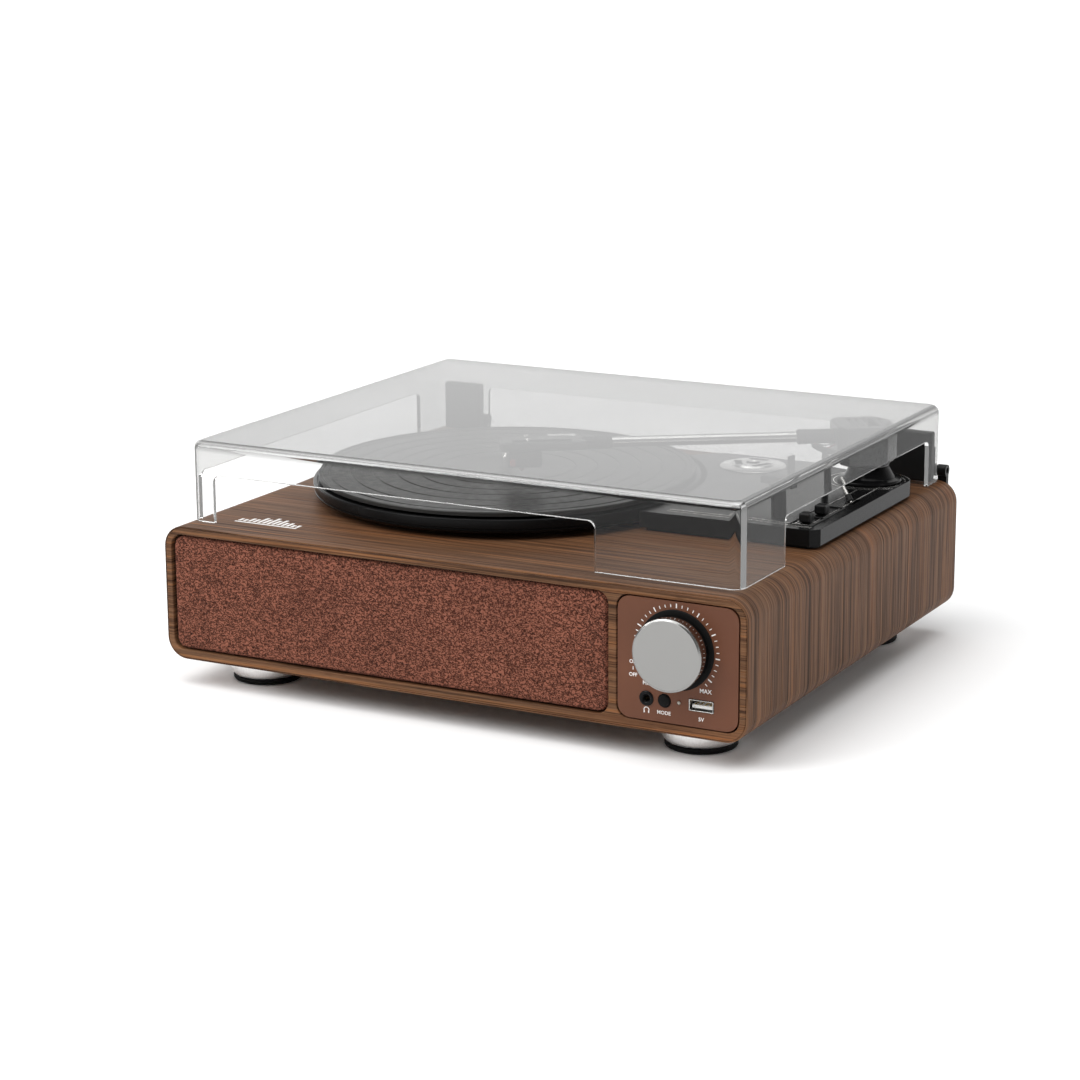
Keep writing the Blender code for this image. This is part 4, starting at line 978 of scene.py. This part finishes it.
# ---- room ----
def soft_light(name, place, target, size, power, shape=1.0):
    pick()
    bpy.ops.object.light_add(type="AREA", location=place)
    lamp = bpy.context.object
    lamp.name = name
    lamp.data.shape, lamp.data.size, lamp.data.size_y = "RECTANGLE", size, size * shape
    lamp.data.energy = power
    lamp.rotation_euler = (Vector(target) - Vector(place)).to_track_quat("-Z", "Y").to_euler()


def room():
    """The floor, dimmer in sharp mirror reflections than directly, the world and the lamps."""
    pick()
    floor_width, under_feet = 14, 0.0002
    bpy.ops.mesh.primitive_plane_add(size=floor_width, location=(0, 0, -under_feet))
    floor = bpy.context.object
    floor.name = "studio_floor"
    paper, tree, shader, place = new_finish("pale_paper", specular_ior_level=0.1)
    grain = noise(tree, place, 3.0, 2.0)
    surface(tree, shader, shades(tree, grain, ((0.3, (0.93, 0.93, 0.93)), (0.7, (0.95, 0.95, 0.95)))),
            levels(tree, grain, 0.3, 0.7, 0.85, 0.95))
    dim_paper = node(tree, "BsdfDiffuse", {"Color": (0.26, 0.26, 0.26, 1)})
    ray = node(tree, "LightPath").outputs
    sharp_mirror = sums(tree, "MULTIPLY", ray["Is Singular Ray"], ray["Is Reflection Ray"])
    either = node(tree, "MixShader", {0: sharp_mirror, 1: shader.outputs[0], 2: dim_paper.outputs[0]})
    tree.links.new(either.outputs[0], tree.nodes["Material Output"].inputs["Surface"])
    floor.data.materials.append(paper)
    world = bpy.data.worlds.new("studio")
    world.use_nodes = True
    tree = world.node_tree
    x, y, z = node(tree, "SeparateXYZ", {0: node(tree, "TexCoord").outputs["Generated"]}).outputs
    rear = levels(tree, y, -0.2, 0.5, 0.34, 1.34)
    side = levels(tree, x, 0.35, 0.9, 1.0, 0.45)
    panels = levels(tree, sums(tree, "SINE", sums(tree, "MULTIPLY", x, 22.0)), -0.2, 0.3, 0.55, 1.25)
    panels = node(tree, "Mix", {0: levels(tree, y, 0.2, 0.5, 0.0, 1.0), 2: panels, 3: 1.0}).outputs[0]
    overhead = levels(tree, z, 0.40, 0.70, 0.0, 1.0)
    round_about = sums(tree, "MULTIPLY", sums(tree, "MULTIPLY", rear, side), panels)
    ceiling = levels(tree, z, 0.80, 0.87, 0.12, 1.35)
    strength = node(tree, "Mix", {0: overhead, 2: round_about, 3: ceiling}).outputs[0]
    lit = tree.nodes["Background"]
    tree.links.new(strength, lit.inputs["Strength"])
    seen = tree.nodes.new("ShaderNodeBackground")
    seen.inputs["Strength"].default_value = 1.0
    for shade in (lit, seen):
        shade.inputs["Color"].default_value = (1, 1, 1, 1)
    looking = node(tree, "LightPath").outputs["Is Camera Ray"]
    either = node(tree, "MixShader", {0: looking, 1: lit.outputs[0], 2: seen.outputs[0]})
    tree.links.new(either.outputs[0], tree.nodes["World Output"].inputs["Surface"])
    bpy.context.scene.world = world
    bpy.context.scene.view_settings.view_transform = "Standard"
    aim = (0, 0, 0.07)
    soft_light("key_softbox", (-1.0, -1.5, 1.4), aim, 0.9, 10)
    soft_light("tall_strip_left", (-1.5, -0.9, 0.6), aim, 0.10, 4, 9)
    soft_light("tall_strip_right", (1.6, -0.35, 0.6), aim, 0.12, 1.5, 7)
    softness = math.radians(50)
    for name, heading, tilt, strength in (("left_daylight", -38, 42, 1.40), ("high_daylight", 20, 12, 0.85)):
        pick()
        bpy.ops.object.light_add(type="SUN", rotation=(math.radians(tilt), 0, math.radians(heading)))
        sun = bpy.context.object
        sun.name = name
        sun.data.energy, sun.data.angle = strength, softness


def camera():
    """Seen from the front right, a little above."""
    azimuth, elevation, roll = math.radians(28.2407), math.radians(14.0721), math.radians(-0.30882)
    shift, rise, away = -0.0523205 * CASE_W, 0.1474575 * CASE_W, 4.705453 * CASE_W
    back = Vector((math.sin(azimuth) * math.cos(elevation), -math.cos(azimuth) * math.cos(elevation),
                   math.sin(elevation)))
    right = (-back).cross(Vector((0, 0, 1))).normalized()
    up = right.cross(-back)
    right, up = (math.cos(roll) * right + math.sin(roll) * up, math.cos(roll) * up - math.sin(roll) * right)
    pick()
    bpy.ops.object.camera_add(location=back * away + right * shift + up * rise + Vector((0, 0, BOTTOM)))
    viewer = bpy.context.object
    viewer.rotation_euler = Matrix((right, up, back)).transposed().to_euler()
    sensor, picture_width, focal_in_picture = 36, 1080, 2891.766
    viewer.data.sensor_width = sensor
    viewer.data.lens = focal_in_picture / picture_width * sensor
    viewer.data.clip_start, viewer.data.clip_end = 0.05, 50
    bpy.context.scene.camera = viewer


finish_inside_nodes()
case_shell()
front_board()
speaker_cloth()
back_of_case()
feet()
small_controls()
dial_marks()
panel_words()
volume_knob()
platter()
tonearm_deck()
record_adapter()
arm_base()
arm_parts()
arm_wires()
cueing()
dust_cover()
hinges()
top_ornament()
room()
camera()
